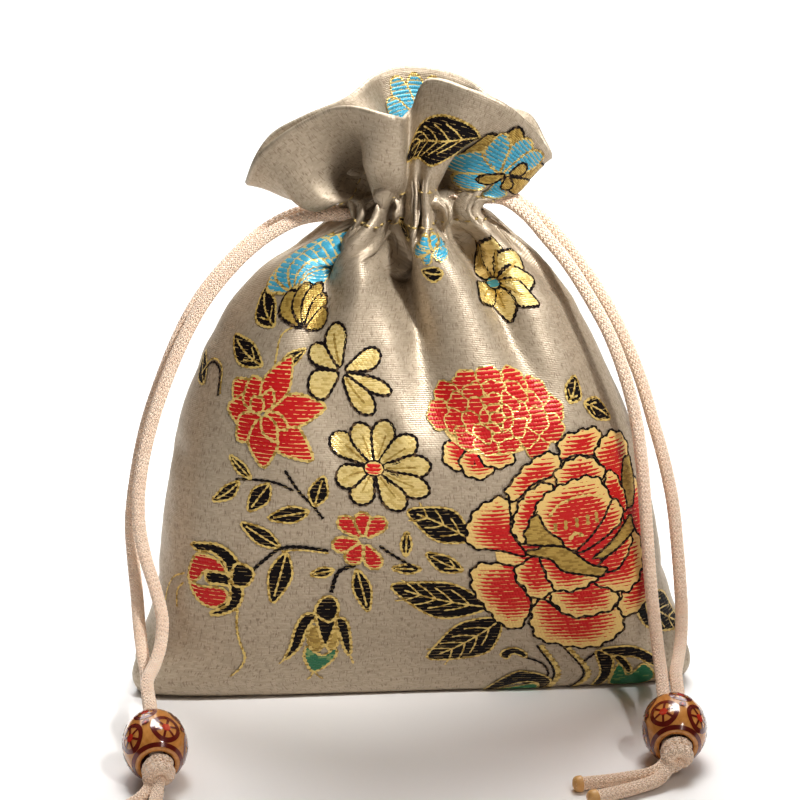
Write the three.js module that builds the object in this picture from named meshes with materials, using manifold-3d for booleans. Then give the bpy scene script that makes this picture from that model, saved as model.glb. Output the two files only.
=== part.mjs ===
// Drawstring pouch of patterned satin, drawn shut and standing on its base, with two cords that carry a bead each.
// Millimetres, +Z up, front towards -Y, base on Z = 0.
import * as THREE from "three";
import { mergeVertices } from "three/addons/utils/BufferGeometryUtils.js";
import { ParametricGeometry } from "three/addons/geometries/ParametricGeometry.js";
import Module from "manifold-3d";

const wasm = await Module();
wasm.setup();

// Pouch
const bodyWidth = 103.6; // across the body at half height
const bodyDepth = 34; // front to back at half height
const channelLevel = 103.5; // middle of the cord channel above the base
const clothWall = 1.2;
const neckRadius = 12.9;
const facingWall = 1.3; // turned-in cloth between the channel and the passage
const ruffleSpan = 64; // tip to tip
const ruffleDepth = 30;
const ruffleRise = 24.5; // front and back rim above the middle of the channel
const ruffleTipRise = 8; // rim above the middle of the channel at both sides
const pleatCount = 14;
const pleatAtNeck = 0.6;
const pleatAtShoulder = 1.5;
const pleatAtRim = 2.2;
const segmentsPerPleat = 5;

// Cords, beads and knots
const cordDiameter = 2.8;
const cordSteps = 80; // straight pieces along each cord
const channelGap = 0.6; // play of a cord in the channel
const fitGap = 0.3; // between pieces that only touch
const beadDiameter = 12.8;
const beadLength = 12.2;
const beadLip = 0.9; // flat ring round each mouth of the bore
const strandGap = 0.2; // between the two strands in a bead
const boreGap = 0.25; // play of the strands in a bead
const beadTravel = 10; // straight length left above each bead
const knotDiameter = 7.6;
const floorGap = 0.4; // from a bead's side to the floor
const exitBend = 2 * cordDiameter; // bend radius where a strand leaves the channel

// Shares of body half width, body half depth and channel level, then squareness of the section, from the base up
const bodyStations = [
  [1.02, 0.45, 0, 4.5],
  [1.102, 0.56, 0.012, 4.5],
  [1.142, 0.66, 0.048, 4.4],
  [1.096, 0.77, 0.116, 4.0],
  [1.034, 0.904, 0.232, 3.4],
  [1.0, 0.984, 0.367, 3.0],
  [0.961, 1.0, 0.483, 2.8],
  [0.888, 0.979, 0.599, 2.6],
  [0.82, 0.936, 0.705, 2.4],
  [0.71, 0.872, 0.812, 2.3],
  [0.56, 0.809, 0.889, 2.15],
  [0.396, 0.745, 0.937, 2.05],
];

const cordRadius = cordDiameter / 2;
const channelWidth = cordDiameter + 2 * channelGap;
const channelHeight = 2 * cordDiameter + 3 * channelGap;
const channelOuter = neckRadius - pleatAtNeck - clothWall;
const channelInner = channelOuter - channelWidth;
const loopRadius = (channelOuter + channelInner) / 2;
const passageRadius = channelInner - facingWall;
const neckTop = channelLevel + channelHeight / 2 + fitGap / 2;
const neckFoot = channelLevel - channelHeight / 2 + fitGap / 2;
const cordLevel = (cordDiameter + channelGap) / 2; // each cord above or below the middle of the channel

// Solid from any closed geometry, with the empty triangles of poles and seams left out.
function solidOf(geometry) {
  const bare = new THREE.BufferGeometry();
  const whole = geometry.index ? geometry.toNonIndexed() : geometry;
  bare.setAttribute("position", whole.getAttribute("position"));
  const merged = mergeVertices(bare, 1e-3);
  const kept = [];
  const index = merged.index.array;
  for (let i = 0; i < index.length; i += 3) {
    const [a, b, c] = [index[i], index[i + 1], index[i + 2]];
    if (a !== b && b !== c && c !== a) kept.push(a, b, c);
  }
  const made = (order) =>
    new wasm.Manifold(
      new wasm.Mesh({
        numProp: 3,
        vertProperties: merged.attributes.position.array,
        triVerts: new Uint32Array(order),
      }),
    );
  const solid = made(kept);
  return solid.volume() < 0 ? made(kept.reverse()) : solid;
}

function meshOf(name, solid, colour, roughness) {
  const m = solid.getMesh();
  const geometry = new THREE.BufferGeometry();
  geometry.setAttribute(
    "position",
    new THREE.BufferAttribute(Float32Array.from(m.vertProperties), 3),
  );
  geometry.setIndex(new THREE.BufferAttribute(Uint32Array.from(m.triVerts), 1));
  geometry.computeVertexNormals();
  const material = new THREE.MeshStandardMaterial({ color: colour, roughness });
  const mesh = new THREE.Mesh(geometry, material);
  mesh.name = name;
  return mesh;
}

// Smooth shape of the pouch: level 0 to 1 runs up the body to the top of the neck, 1 to 2 up the ruffle.
const halfWidth = bodyWidth / 2;
const halfDepth = bodyDepth / 2;
const profilePoints = bodyStations.map(
  ([w, d, h]) => new THREE.Vector3(w * halfWidth, d * halfDepth, h * channelLevel),
);
const squareness = bodyStations.map((station) => station[3]);
[neckFoot, channelLevel, neckTop].forEach((z, i) => {
  const spread = i === 0 ? 1.06 : 1;
  profilePoints.push(new THREE.Vector3(neckRadius * spread, neckRadius * spread, z));
  squareness.push(2);
});
const profile = new THREE.CatmullRomCurve3(profilePoints, false, "centripetal");

function bodyPoint(level, angle) {
  const { x: a, y: b, z } = profile.getPoint(level);
  const place = level * (squareness.length - 1);
  const low = Math.min(Math.floor(place), squareness.length - 2);
  const n = THREE.MathUtils.lerp(squareness[low], squareness[low + 1], place - low);
  const [c, s] = [Math.cos(angle), Math.sin(angle)];
  const power = 2 / n;
  return new THREE.Vector3(
    a * Math.sign(c) * Math.abs(c) ** power,
    b * Math.sign(s) * Math.abs(s) ** power,
    z,
  );
}

function rufflePoint(rise, angle) {
  const [c, s] = [Math.cos(angle), Math.sin(angle)];
  const upright = Math.abs(s) ** 0.8;
  const foot = new THREE.Vector3(neckRadius * c, neckRadius * s, neckTop);
  const bend = new THREE.Vector3(1.5 * neckRadius * c, neckRadius * s, neckTop + 11.5);
  const rim = new THREE.Vector3(
    (ruffleSpan / 2) * c,
    (ruffleDepth / 2) * s,
    channelLevel + THREE.MathUtils.lerp(ruffleTipRise, ruffleRise, upright),
  );
  return new THREE.QuadraticBezierCurve3(foot, bend, rim).getPoint(rise);
}

function smoothPoint(level, angle) {
  return level <= 1 ? bodyPoint(level, angle) : rufflePoint(level - 1, angle);
}

function smoothNormal(level, angle) {
  const step = 0.004;
  const low = Math.max(level - step, 0);
  const high = Math.min(level + step, 2);
  const up = smoothPoint(high, angle).sub(smoothPoint(low, angle));
  const round = smoothPoint(level, angle + 0.02).sub(smoothPoint(level, angle - 0.02));
  return round.cross(up).normalize();
}

// Height of the pleats and thickness of the cloth by level
function pleatHeight(level) {
  if (level > 1) return THREE.MathUtils.lerp(pleatAtNeck, pleatAtRim, (level - 1) ** 1.2);
  const z = profile.getPoint(level).z / channelLevel;
  const rising = THREE.MathUtils.smoothstep(z, 0.55, 0.87);
  const falling = THREE.MathUtils.smoothstep(z, 0.87, 0.97);
  return pleatAtShoulder * rising + (pleatAtNeck - pleatAtShoulder) * falling;
}

function wallAt(level) {
  const thick = neckRadius - passageRadius;
  if (level > 1) return THREE.MathUtils.lerp(thick, clothWall, THREE.MathUtils.smoothstep(level, 1, 1.42));
  const z = profile.getPoint(level).z / channelLevel;
  return THREE.MathUtils.lerp(clothWall, thick, THREE.MathUtils.smoothstep(z, 0.9, 0.99));
}

function outerPoint(level, angle) {
  const swell = pleatHeight(level) * Math.cos(pleatCount * angle);
  return smoothPoint(level, angle).addScaledVector(smoothNormal(level, angle), swell);
}

function innerPoint(level, angle) {
  const wall = wallAt(level);
  const swell = pleatHeight(level) * Math.cos(pleatCount * angle) * (clothWall / wall) ** 2;
  return smoothPoint(level, angle).addScaledVector(smoothNormal(level, angle), swell - wall);
}

// The pouch as one folded cloth: base, outside, rim, inside, in rings from pole to pole
const bodyLevels = [];
const levelSteps = 22;
for (let i = 0; i <= levelSteps; i++) bodyLevels.push(i / levelSteps);
const ruffleLevels = [1.12, 1.26, 1.42, 1.6, 1.8, 2];
const outerLevels = [...bodyLevels, ...ruffleLevels];
const innerLevels = [...outerLevels]
  .reverse()
  .filter((level) => level > 0.6 || Math.round(level * levelSteps) % 2 === 0);
const rings = [
  (angle) => new THREE.Vector3(0, 0, 0),
  ...outerLevels.map((level) => (angle) => outerPoint(level, angle)),
  ...innerLevels.slice(0, -1).map((level) => (angle) => innerPoint(level, angle)),
  (angle) => bodyPoint(0, angle).add(new THREE.Vector3(0, 0, clothWall)),
  (angle) => new THREE.Vector3(0, 0, clothWall),
];
const roundSteps = pleatCount * segmentsPerPleat;
function clothSheet(u, v, target) {
  const step = Math.round(u * roundSteps) % roundSteps;
  const ring = Math.min(Math.round(v * (rings.length - 1)), rings.length - 1);
  target.copy(rings[ring]((2 * Math.PI * step) / roundSteps));
}
const cloth = solidOf(new ParametricGeometry(clothSheet, roundSteps, rings.length - 1));

// Channel round the neck, and the gap in each side where a cord comes out
const channelFoot = channelLevel - channelHeight / 2;
const channelProfile = [
  [channelInner, channelFoot],
  [channelOuter, channelFoot],
  [channelOuter, channelFoot + channelHeight],
  [channelInner, channelFoot + channelHeight],
  [channelInner, channelFoot],
].map(([r, z]) => new THREE.Vector2(r, z));
const channelRing = new THREE.LatheGeometry(channelProfile, 60).rotateX(Math.PI / 2);
function exitCut(side) {
  const reach = 8;
  const width = 2 * (2 * cordDiameter + channelGap) * 0.72;
  const cut = new THREE.BoxGeometry(reach, width, channelWidth);
  cut.translate(side * (loopRadius + reach / 2), 0, channelLevel + side * cordLevel);
  return solidOf(cut);
}
const pouch = cloth
  .subtract(solidOf(channelRing))
  .subtract(exitCut(-1))
  .subtract(exitCut(1));

// Each side: bead place, direction from knot to strands, way from the first strand to the second, strand routes
// from the channel to the bead, and tail routes from the knot
const vec = (p) => new THREE.Vector3(...p);
const sides = {
  left: {
    side: -1,
    bead: [-52.4, -47.3],
    lie: [-0.12, 0.96, 0.25],
    across: [0, 0.25, -0.96],
    front: [
      [-18, -1.75, 101.9],
      [-23.5, -2.1, 101],
      [-30.6, -3, 97.2],
      [-36.9, -4, 91.6],
      [-42.3, -5.2, 85],
      [-46.4, -6.6, 78],
      [-50, -8.2, 70],
      [-53.4, -10.2, 60.5],
      [-55.8, -12, 50],
      [-56.3, -13.2, 41],
      [-55.2, -13.8, 33.5],
      [-53.3, -14.2, 26.5],
      [-52, -15, 20],
      [-52.4, -17.4, 15.4],
      [-53.4, -22, 13.2],
    ],
    back: [
      [-18, 1.75, 101.9],
      [-23.5, 1.6, 101.4],
      [-30.6, 1, 97.8],
      [-37.2, 0, 92],
      [-43.3, -1.1, 84.8],
      [-47.5, -2.5, 77.6],
      [-51.2, -4, 69],
      [-54.7, -5.6, 59],
      [-57.1, -7, 48],
      [-58.2, -8.2, 39],
      [-57.9, -9, 31],
      [-57.4, -9.7, 24],
      [-57, -11, 17.6],
      [-56.3, -14.2, 12.6],
      [-55.4, -19.5, 10.4],
    ],
    tails: [
      [
        [-51.6, -60.5, 2.4],
        [-52.2, -64, 1.55],
        [-53.4, -68.5, 1.5],
      ],
      [
        [-53.8, -59.6, 2.2],
        [-57, -63.4, 1.5],
        [-61.4, -69, 1.5],
      ],
    ],
  },
  right: {
    side: 1,
    bead: [50.3, -42.9],
    lie: [0.05, 0.97, 0.24],
    across: [1, -0.05, 0],
    front: [
      [18, -1.9, 105],
      [22.6, -3, 102],
      [26.4, -4.4, 97.8],
      [30.6, -6.8, 93],
      [35, -9.4, 86.4],
      [38.9, -11.8, 79.4],
      [41.8, -13, 72],
      [44.3, -13.5, 63],
      [45.9, -14.2, 53],
      [46.8, -14.3, 44],
      [47.6, -14.3, 35],
      [48.4, -14.4, 26.5],
      [49.2, -15, 19.6],
      [49.7, -17.4, 14.8],
      [49.8, -21, 12.3],
    ],
    back: [
      [18, 1.8, 105],
      [23.4, 1.2, 102.4],
      [28.4, 0.2, 98],
      [33.4, -1.1, 92],
      [38.8, -2.8, 84],
      [42.6, -4.4, 76.8],
      [46, -6.4, 68.6],
      [48.8, -8.2, 59.4],
      [51.2, -9.4, 51],
      [53, -10.2, 42.6],
      [54.1, -10.8, 33.8],
      [54.9, -11.3, 25.6],
      [55.3, -12.4, 18.6],
      [54.8, -15.6, 13.8],
      [53.7, -20.4, 11.8],
    ],
    tails: [
      [
        [45.6, -53.6, 2.6],
        [39, -54.6, 1.55],
        [29.8, -56.6, 1.5],
      ],
      [
        [46.2, -55.6, 2.2],
        [40.4, -59, 1.5],
        [32.1, -62.9, 1.5],
      ],
    ],
  },
};

function tube(points, radius, steps) {
  const path = new THREE.CatmullRomCurve3(points, false, "centripetal");
  path.arcLengthDivisions = 1200;
  const section = new THREE.Shape();
  const facets = 8;
  for (let i = 0; i < facets; i++) {
    const turn = (2 * Math.PI * i) / facets;
    const [x, y] = [radius * Math.cos(turn), radius * Math.sin(turn)];
    if (i === 0) section.moveTo(x, y);
    else section.lineTo(x, y);
  }
  section.closePath();
  return solidOf(new THREE.ExtrudeGeometry(section, { steps, bevelEnabled: false, extrudePath: path }));
}

// Part of a cord in the channel: in through the gap on its own side, once round the neck and out again
function channelLoop(side) {
  const level = channelLevel + side * cordLevel;
  const spread = cordRadius + fitGap;
  const leave = Math.asin((exitBend + spread) / (loopRadius + exitBend));
  const hub = loopRadius + exitBend;
  const points = [];
  const arcSteps = 4;
  for (let i = 0; i < arcSteps; i++) {
    const turn = Math.PI / 2 - ((Math.PI / 2 - leave) * i) / arcSteps;
    const x = hub * Math.cos(leave) - exitBend * Math.cos(turn);
    const y = -hub * Math.sin(leave) + exitBend * Math.sin(turn);
    points.push(new THREE.Vector3(side * x, y, level));
  }
  const roundSteps = 18;
  for (let i = 0; i <= roundSteps; i++) {
    const turn = leave + ((2 * Math.PI - 2 * leave) * i) / roundSteps;
    points.push(new THREE.Vector3(side * loopRadius * Math.cos(turn), -loopRadius * Math.sin(turn), level));
  }
  const back = points.slice(0, arcSteps).reverse();
  back.forEach((p) => points.push(new THREE.Vector3(p.x, -p.y, p.z)));
  return points;
}

const boreRadius = cordDiameter + strandGap / 2 + boreGap;
function beadSolid(centre, lie) {
  const half = beadLength / 2;
  const lip = boreRadius + beadLip;
  const lean = Math.asin(Math.min(half / (beadDiameter / 2), 0.94));
  const outline = [];
  const steps = 12;
  for (let i = 0; i <= steps; i++) {
    const turn = -lean + (2 * lean * i) / steps;
    const bulge = (Math.cos(turn) - Math.cos(lean)) / (1 - Math.cos(lean));
    const z = (half * Math.sin(turn)) / Math.sin(lean);
    outline.push(new THREE.Vector2(lip + (beadDiameter / 2 - lip) * bulge, z));
  }
  outline.push(new THREE.Vector2(boreRadius, half), new THREE.Vector2(boreRadius, -half));
  outline.push(outline[0].clone());
  const turned = new THREE.LatheGeometry(outline, 28);
  const way = new THREE.Quaternion().setFromUnitVectors(new THREE.Vector3(0, 1, 0), lie);
  return solidOf(turned.applyQuaternion(way).translate(...centre));
}

// Knot: two crossed turns of cord round a core, with its two tails
function knotSolid(centre, lie, tails) {
  const wrap = knotDiameter / 2 - cordRadius;
  const axis = new THREE.Quaternion().setFromUnitVectors(new THREE.Vector3(0, 0, 1), lie);
  const turn = (tilt) =>
    solidOf(
      new THREE.TorusGeometry(wrap, cordRadius, 8, 20)
        .rotateX(tilt)
        .applyQuaternion(axis)
        .translate(...centre),
    );
  const core = solidOf(new THREE.SphereGeometry(wrap + 0.3, 12, 8).translate(...centre));
  return tails.reduce(
    (whole, route) => whole.add(tube([centre, ...route.map(vec)], cordRadius, 8)),
    core.add(turn(0.5)).add(turn(-0.5)),
  );
}

const cordColour = 0xefd6c0;
const part = new THREE.Group();
part.name = "drawstring_pouch";
part.add(meshOf("pouch_cloth", pouch, 0xb39c7e, 0.5));

for (const [name, set] of Object.entries(sides)) {
  const lie = vec(set.lie).normalize();
  const centre = new THREE.Vector3(...set.bead, beadDiameter / 2 + floorGap);
  const across = vec(set.across).normalize().multiplyScalar(cordRadius + strandGap / 2);
  const onBead = (along, way) => centre.clone().addScaledVector(lie, along).addScaledVector(across, way);
  const half = beadLength / 2;
  const onAxis = [half + beadTravel + 2, half + beadTravel / 2, 0, -half];
  const strand = (route, way) => [
    ...route.map(vec),
    ...onAxis.map((along) => onBead(along, way)),
  ];
  const cordPoints = [
    ...strand(set.front, -1).reverse(),
    ...channelLoop(set.side),
    ...strand(set.back, 1),
  ];
  part.add(meshOf(name + "_drawcord", tube(cordPoints, cordRadius, cordSteps), cordColour, 0.55));
  part.add(meshOf(name + "_bead", beadSolid(centre, lie), 0xc58a49, 0.25));
  const knotReach = half + fitGap + knotDiameter / 2 - cordRadius + 0.3;
  const knotCentre = centre.clone().addScaledVector(lie, -knotReach);
  part.add(meshOf(name + "_knot", knotSolid(knotCentre, lie, set.tails), cordColour, 0.55));
}

export default part;
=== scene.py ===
import math
import bpy
import numpy as np
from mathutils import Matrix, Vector


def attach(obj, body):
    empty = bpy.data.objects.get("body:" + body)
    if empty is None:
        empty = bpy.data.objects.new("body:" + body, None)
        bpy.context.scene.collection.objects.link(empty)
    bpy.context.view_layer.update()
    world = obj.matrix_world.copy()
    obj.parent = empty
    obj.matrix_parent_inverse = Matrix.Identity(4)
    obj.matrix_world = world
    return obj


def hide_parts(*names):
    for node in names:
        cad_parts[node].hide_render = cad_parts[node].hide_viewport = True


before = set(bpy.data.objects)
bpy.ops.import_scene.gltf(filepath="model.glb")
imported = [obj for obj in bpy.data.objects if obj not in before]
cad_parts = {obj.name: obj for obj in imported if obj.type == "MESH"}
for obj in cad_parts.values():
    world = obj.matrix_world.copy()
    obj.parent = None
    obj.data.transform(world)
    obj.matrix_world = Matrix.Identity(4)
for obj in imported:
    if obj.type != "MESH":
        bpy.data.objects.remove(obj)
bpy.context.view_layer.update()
scene = bpy.context.scene
mm = 0.001


def linear(r, g, b):  # screen colour 0 to 255
    def one(c):
        c /= 255
        return c / 12.92 if c <= 0.04045 else ((c + 0.055) / 1.055) ** 2.4
    return (one(r), one(g), one(b), 1)


def meshObject(name, points, faces, materials=(), slots=None, uvs=None, smooth=True):
    mesh = bpy.data.meshes.new(name)
    mesh.from_pydata(np.asarray(points).tolist(), [], faces)
    for material in materials:
        mesh.materials.append(material)
    if slots is not None:
        mesh.polygons.foreach_set("material_index", np.asarray(slots, dtype=np.int32))
    if uvs is not None:  # one pair for each vertex
        layer = mesh.uv_layers.new(name="cloth")
        corner = np.zeros(len(mesh.loops), dtype=np.int32)
        mesh.loops.foreach_get("vertex_index", corner)
        layer.data.foreach_set("uv", np.asarray(uvs, dtype=np.float32)[corner].ravel())
    if smooth:
        mesh.shade_smooth()
    mesh.update()
    piece = bpy.data.objects.new(name, mesh)
    scene.collection.objects.link(piece)
    return piece


def bump(x, centre, width):
    return np.exp(-((x - centre) / width) ** 2)


def ease(x, low, high):
    t = np.clip((np.asarray(x, dtype=float) - low) / (high - low), 0, 1)
    return t * t * (3 - 2 * t)


# Camera, floor and light
cameraSet = {
    "target": (-2.7, 0, 62), "azimuth": -2, "elevation": 18, "distance": 600,
    "lens": 131, "sensor": 36, "near": 10,
}
target = Vector(cameraSet["target"]) * mm
turn, lift = math.radians(cameraSet["azimuth"]), math.radians(cameraSet["elevation"])
back = Vector((math.sin(turn) * math.cos(lift), -math.cos(turn) * math.cos(lift), math.sin(lift)))
cameraData = bpy.data.cameras.new("photoCamera")
cameraData.lens = cameraSet["lens"]
cameraData.sensor_width = cameraSet["sensor"]
cameraData.clip_start = cameraSet["near"] * mm
cameraObject = bpy.data.objects.new("photoCamera", cameraData)
cameraObject.location = target + back * cameraSet["distance"] * mm
cameraObject.rotation_euler = (-back).to_track_quat("-Z", "Y").to_euler()
scene.collection.objects.link(cameraObject)
scene.camera = cameraObject
scene.view_settings.view_transform = "Standard"
scene.view_settings.look = "Medium High Contrast"

lightSet = {
    "world": 0.05, "air": (1, 0.86, 0.72, 1),
    "lamps": [  # name, place, what it faces, size, power, colour
        ("overhead", (0.04, 0.36, 0.9), (0, 0, 0.05), (0.5, 0.34), 6.6, (1, 1, 1)),
        ("frontKey", (0.3, -0.48, 0.5), (0, 0, 0.06), (0.18, 0.2), 0.6, (1, 0.88, 0.8)),
        ("frontLow", (-0.12, -0.8, 0.16), (0, 0, 0.05), (0.5, 0.14), 0.35, (1, 0.88, 0.8)),
        ("backdrop", (0, 1.3, 0.9), (0, 1.2, 0), (1.8, 1.4), 21, (1, 1, 1)),
    ],
    "spot": {"place": (0.28, -0.34, 0.6), "aim": (-0.004, 0, 0.074), "size": 0.06, "power": 42,
             "cone": 11, "soft": 1.0},
}
world = bpy.data.worlds.new("studio")
scene.world = world
world.use_nodes = True
world.node_tree.nodes["Background"].inputs["Color"].default_value = lightSet["air"]
world.node_tree.nodes["Background"].inputs["Strength"].default_value = lightSet["world"]


def hangLamp(name, kind, place, aim, power):
    lamp = bpy.data.lights.new(name, kind)
    lamp.energy = power
    lampObject = bpy.data.objects.new(name, lamp)
    lampObject.location = place
    lampObject.rotation_euler = (Vector(aim) - Vector(place)).to_track_quat("-Z", "Y").to_euler()
    scene.collection.objects.link(lampObject)
    return lamp


for name, place, aim, size, power, tint in lightSet["lamps"]:
    lamp = hangLamp(name, "AREA", place, aim, power)
    lamp.color = tint
    lamp.shape = "RECTANGLE"
    lamp.size, lamp.size_y = size
spot = lightSet["spot"]
lamp = hangLamp("shoulderSpot", "SPOT", spot["place"], spot["aim"], spot["power"])
lamp.shadow_soft_size = spot["size"]
lamp.spot_size = math.radians(spot["cone"])
lamp.spot_blend = spot["soft"]

floorSet = {"half": 6, "colour": (0.93, 0.92, 0.91, 1), "roughness": 0.6}
floorMaterial = bpy.data.materials.new("floorPaper")
floorMaterial.use_nodes = True
floorShade = floorMaterial.node_tree.nodes["Principled BSDF"]
floorShade.inputs["Base Color"].default_value = floorSet["colour"]
floorShade.inputs["Roughness"].default_value = floorSet["roughness"]
floorCorners = np.array([(-1, -1, 0), (1, -1, 0), (1, 1, 0), (-1, 1, 0)]) * floorSet["half"]
floor = meshObject("floor", floorCorners, [(0, 1, 2, 3)], [floorMaterial], smooth=False)
print("camera, floor and light")


# Materials: the cloth and its threads read the flat place of each point, in mm
def calc(tree, operation, *values):
    node = tree.nodes.new("ShaderNodeMath")
    node.operation = operation
    for socket, value in zip(node.inputs, values):
        if isinstance(value, (int, float)):
            socket.default_value = value
        else:
            tree.links.new(value, socket)
    return node.outputs[0]


def blend(tree, share, first, second):
    node = tree.nodes.new("ShaderNodeMix")
    node.data_type = "RGBA"
    for socket, value in ((node.inputs[0], share), (node.inputs[6], first), (node.inputs[7], second)):
        if isinstance(value, (int, float, tuple)):
            socket.default_value = value
        else:
            tree.links.new(value, socket)
    return node.outputs[2]


uvUnit = 100.0  # mm of flat cloth in one UV unit
weftSet = {"rowShift": 0.37, "ends": 0.35}  # step aside from row to row, how blunt each float ends


def makeWeftGroup():
    # Rows of weft: Chance is a steady random number for each float of thread, Height its rounded relief
    group = bpy.data.node_groups.new("weftRows", "ShaderNodeTree")
    for name in ("Across", "Up", "Pitch", "Float"):
        group.interface.new_socket(name, in_out="INPUT", socket_type="NodeSocketFloat")
    for name in ("Chance", "Stripe", "Height"):
        group.interface.new_socket(name, in_out="OUTPUT", socket_type="NodeSocketFloat")
    start, end = group.nodes.new("NodeGroupInput"), group.nodes.new("NodeGroupOutput")
    rows = calc(group, "DIVIDE", start.outputs["Up"], start.outputs["Pitch"])
    row = calc(group, "FLOOR", rows)
    floats = calc(group, "DIVIDE", start.outputs["Across"], start.outputs["Float"])
    shifted = calc(group, "MULTIPLY_ADD", row, weftSet["rowShift"], floats)
    cell = group.nodes.new("ShaderNodeCombineXYZ")
    group.links.new(calc(group, "FLOOR", shifted), cell.inputs[0])
    group.links.new(row, cell.inputs[1])
    noise = group.nodes.new("ShaderNodeTexWhiteNoise")
    noise.noise_dimensions = "2D"
    group.links.new(cell.outputs[0], noise.inputs["Vector"])
    group.links.new(noise.outputs["Value"], end.inputs["Chance"])
    group.links.new(calc(group, "FRACT", rows), end.inputs["Stripe"])
    over = calc(group, "SINE", calc(group, "MULTIPLY", calc(group, "FRACT", rows), math.pi))
    along = calc(group, "SINE", calc(group, "MULTIPLY", calc(group, "FRACT", shifted), math.pi))
    rounded = calc(group, "MULTIPLY", over, calc(group, "POWER", along, weftSet["ends"]))
    group.links.new(rounded, end.inputs["Height"])
    return group


weftGroup = makeWeftGroup()


def newMaterial(name, colour, roughness):
    material = bpy.data.materials.new(name)
    material.use_nodes = True
    shade = material.node_tree.nodes["Principled BSDF"]
    shade.inputs["Base Color"].default_value = linear(*colour)
    shade.inputs["Roughness"].default_value = roughness
    return material, shade


def weft(tree, pitch, floatLength):
    place = tree.nodes.new("ShaderNodeUVMap")
    place.uv_map = "cloth"
    split = tree.nodes.new("ShaderNodeSeparateXYZ")
    tree.links.new(place.outputs[0], split.inputs[0])
    rows = tree.nodes.new("ShaderNodeGroup")
    rows.node_tree = weftGroup
    tree.links.new(calc(tree, "MULTIPLY", split.outputs[0], uvUnit), rows.inputs["Across"])
    tree.links.new(calc(tree, "MULTIPLY", split.outputs[1], uvUnit), rows.inputs["Up"])
    rows.inputs["Pitch"].default_value = pitch
    rows.inputs["Float"].default_value = floatLength
    return rows, place


def relief(tree, shade, height, strength, depth):
    raised = tree.nodes.new("ShaderNodeBump")
    raised.inputs["Strength"].default_value = strength
    raised.inputs["Distance"].default_value = depth * mm
    tree.links.new(height, raised.inputs["Height"])
    tree.links.new(raised.outputs[0], shade.inputs["Normal"])


satinSet = {
    "colour": (188, 174, 154), "shade": (158, 144, 123), "shadeShare": 0.6, "fleck": (96, 76, 58),
    "flecks": 0.42, "rare": 0.63, "grain": (330, 62, 1), "roughness": 0.46, "metal": 0.5, "pitch": 0.36,
    "float": 0.8, "relief": 0.4, "depth": 0.1,
}
threadSet = {
    "relief": 0.5, "depth": 0.16, "stray": 0.34, "hatched": 0.1, "rimPower": 2.0, "blackGloss": 0.15,
}
threads = {  # main and second colour, share of the second, growth to the rim, roughness, row, float, metal
    "red": ((190, 24, 24), (222, 190, 122), 0.05, 1.35, 0.4, 0.86, 0.62, 0.15),
    "crimson": ((184, 20, 24), (222, 190, 122), 0.03, 0.32, 0.4, 0.86, 0.62, 0.15),
    "gold": ((186, 158, 86), (158, 130, 66), 0.4, 0, 0.34, 0.4, 1.0, 0.45),
    "blue": ((70, 158, 186), (214, 196, 136), 0.06, 0.4, 0.36, 0.86, 0.7, 0.15),
    "black": ((20, 14, 16), (160, 138, 94), 0.02, 0.16, 0.5, 0.8, 0.9, 0),
    "green": ((38, 112, 76), (120, 150, 96), 0.12, 0.1, 0.42, 0.5, 1.2, 0.1),
    "goldLine": ((218, 192, 120), (160, 132, 66), 0.3, 0, 0.32, 0.5, 0.7, 0.4),
    "blackLine": ((24, 16, 16), (92, 74, 54), 0.2, 0, 0.5, 0.5, 0.7, 0),
    "paleGold": ((226, 204, 140), (206, 180, 112), 0.4, 0, 0.32, 0.4, 1.0, 0.4),
}
satin, satinShade = newMaterial("satin", satinSet["colour"], satinSet["roughness"])
tree = satin.node_tree
rows, place = weft(tree, satinSet["pitch"], satinSet["float"])
speck = tree.nodes.new("ShaderNodeTexNoise")
speck.inputs["Scale"].default_value = 1
speck.inputs["Detail"].default_value = 1
stretch = tree.nodes.new("ShaderNodeMapping")
stretch.inputs["Scale"].default_value = satinSet["grain"]
tree.links.new(place.outputs[0], stretch.inputs[0])
tree.links.new(stretch.outputs[0], speck.inputs["Vector"])
shows = calc(tree, "GREATER_THAN", speck.outputs[0], satinSet["rare"])
fleck = calc(tree, "MULTIPLY", shows, satinSet["flecks"])
shaded = calc(tree, "MULTIPLY", rows.outputs["Chance"], satinSet["shadeShare"])
ground = blend(tree, shaded, linear(*satinSet["colour"]), linear(*satinSet["shade"]))
tree.links.new(blend(tree, fleck, ground, linear(*satinSet["fleck"])), satinShade.inputs["Base Color"])
satinShade.inputs["Metallic"].default_value = satinSet["metal"]
relief(tree, satinShade, rows.outputs["Height"], satinSet["relief"], satinSet["depth"])
threadMaterials = {}
for name, (main, second, share, growth, rough, row, floatLength, metal) in threads.items():
    made, shade = newMaterial(name + "Thread", main, rough)
    tree = made.node_tree
    rows, place = weft(tree, row, floatLength)
    tip = tree.nodes.new("ShaderNodeAttribute")
    tip.attribute_name = "tip"
    nearRim = calc(tree, "POWER", tip.outputs["Fac"], threadSet["rimPower"])
    level = calc(tree, "MULTIPLY_ADD", nearRim, growth, share)
    chance = rows.outputs["Chance"]
    if growth > threadSet["hatched"]:  # rows of the second thread that widen towards the rim
        stray = calc(tree, "SUBTRACT", chance, 0.5)
        chance = calc(tree, "MULTIPLY_ADD", stray, threadSet["stray"], rows.outputs["Stripe"])
    colour = blend(tree, calc(tree, "LESS_THAN", chance, level), linear(*main), linear(*second))
    tree.links.new(colour, shade.inputs["Base Color"])
    shade.inputs["Metallic"].default_value = metal
    if name.startswith("black"):
        shade.inputs["Specular IOR Level"].default_value = threadSet["blackGloss"]
    relief(tree, shade, rows.outputs["Height"], threadSet["relief"], threadSet["depth"])
    threadMaterials[name] = made


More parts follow.
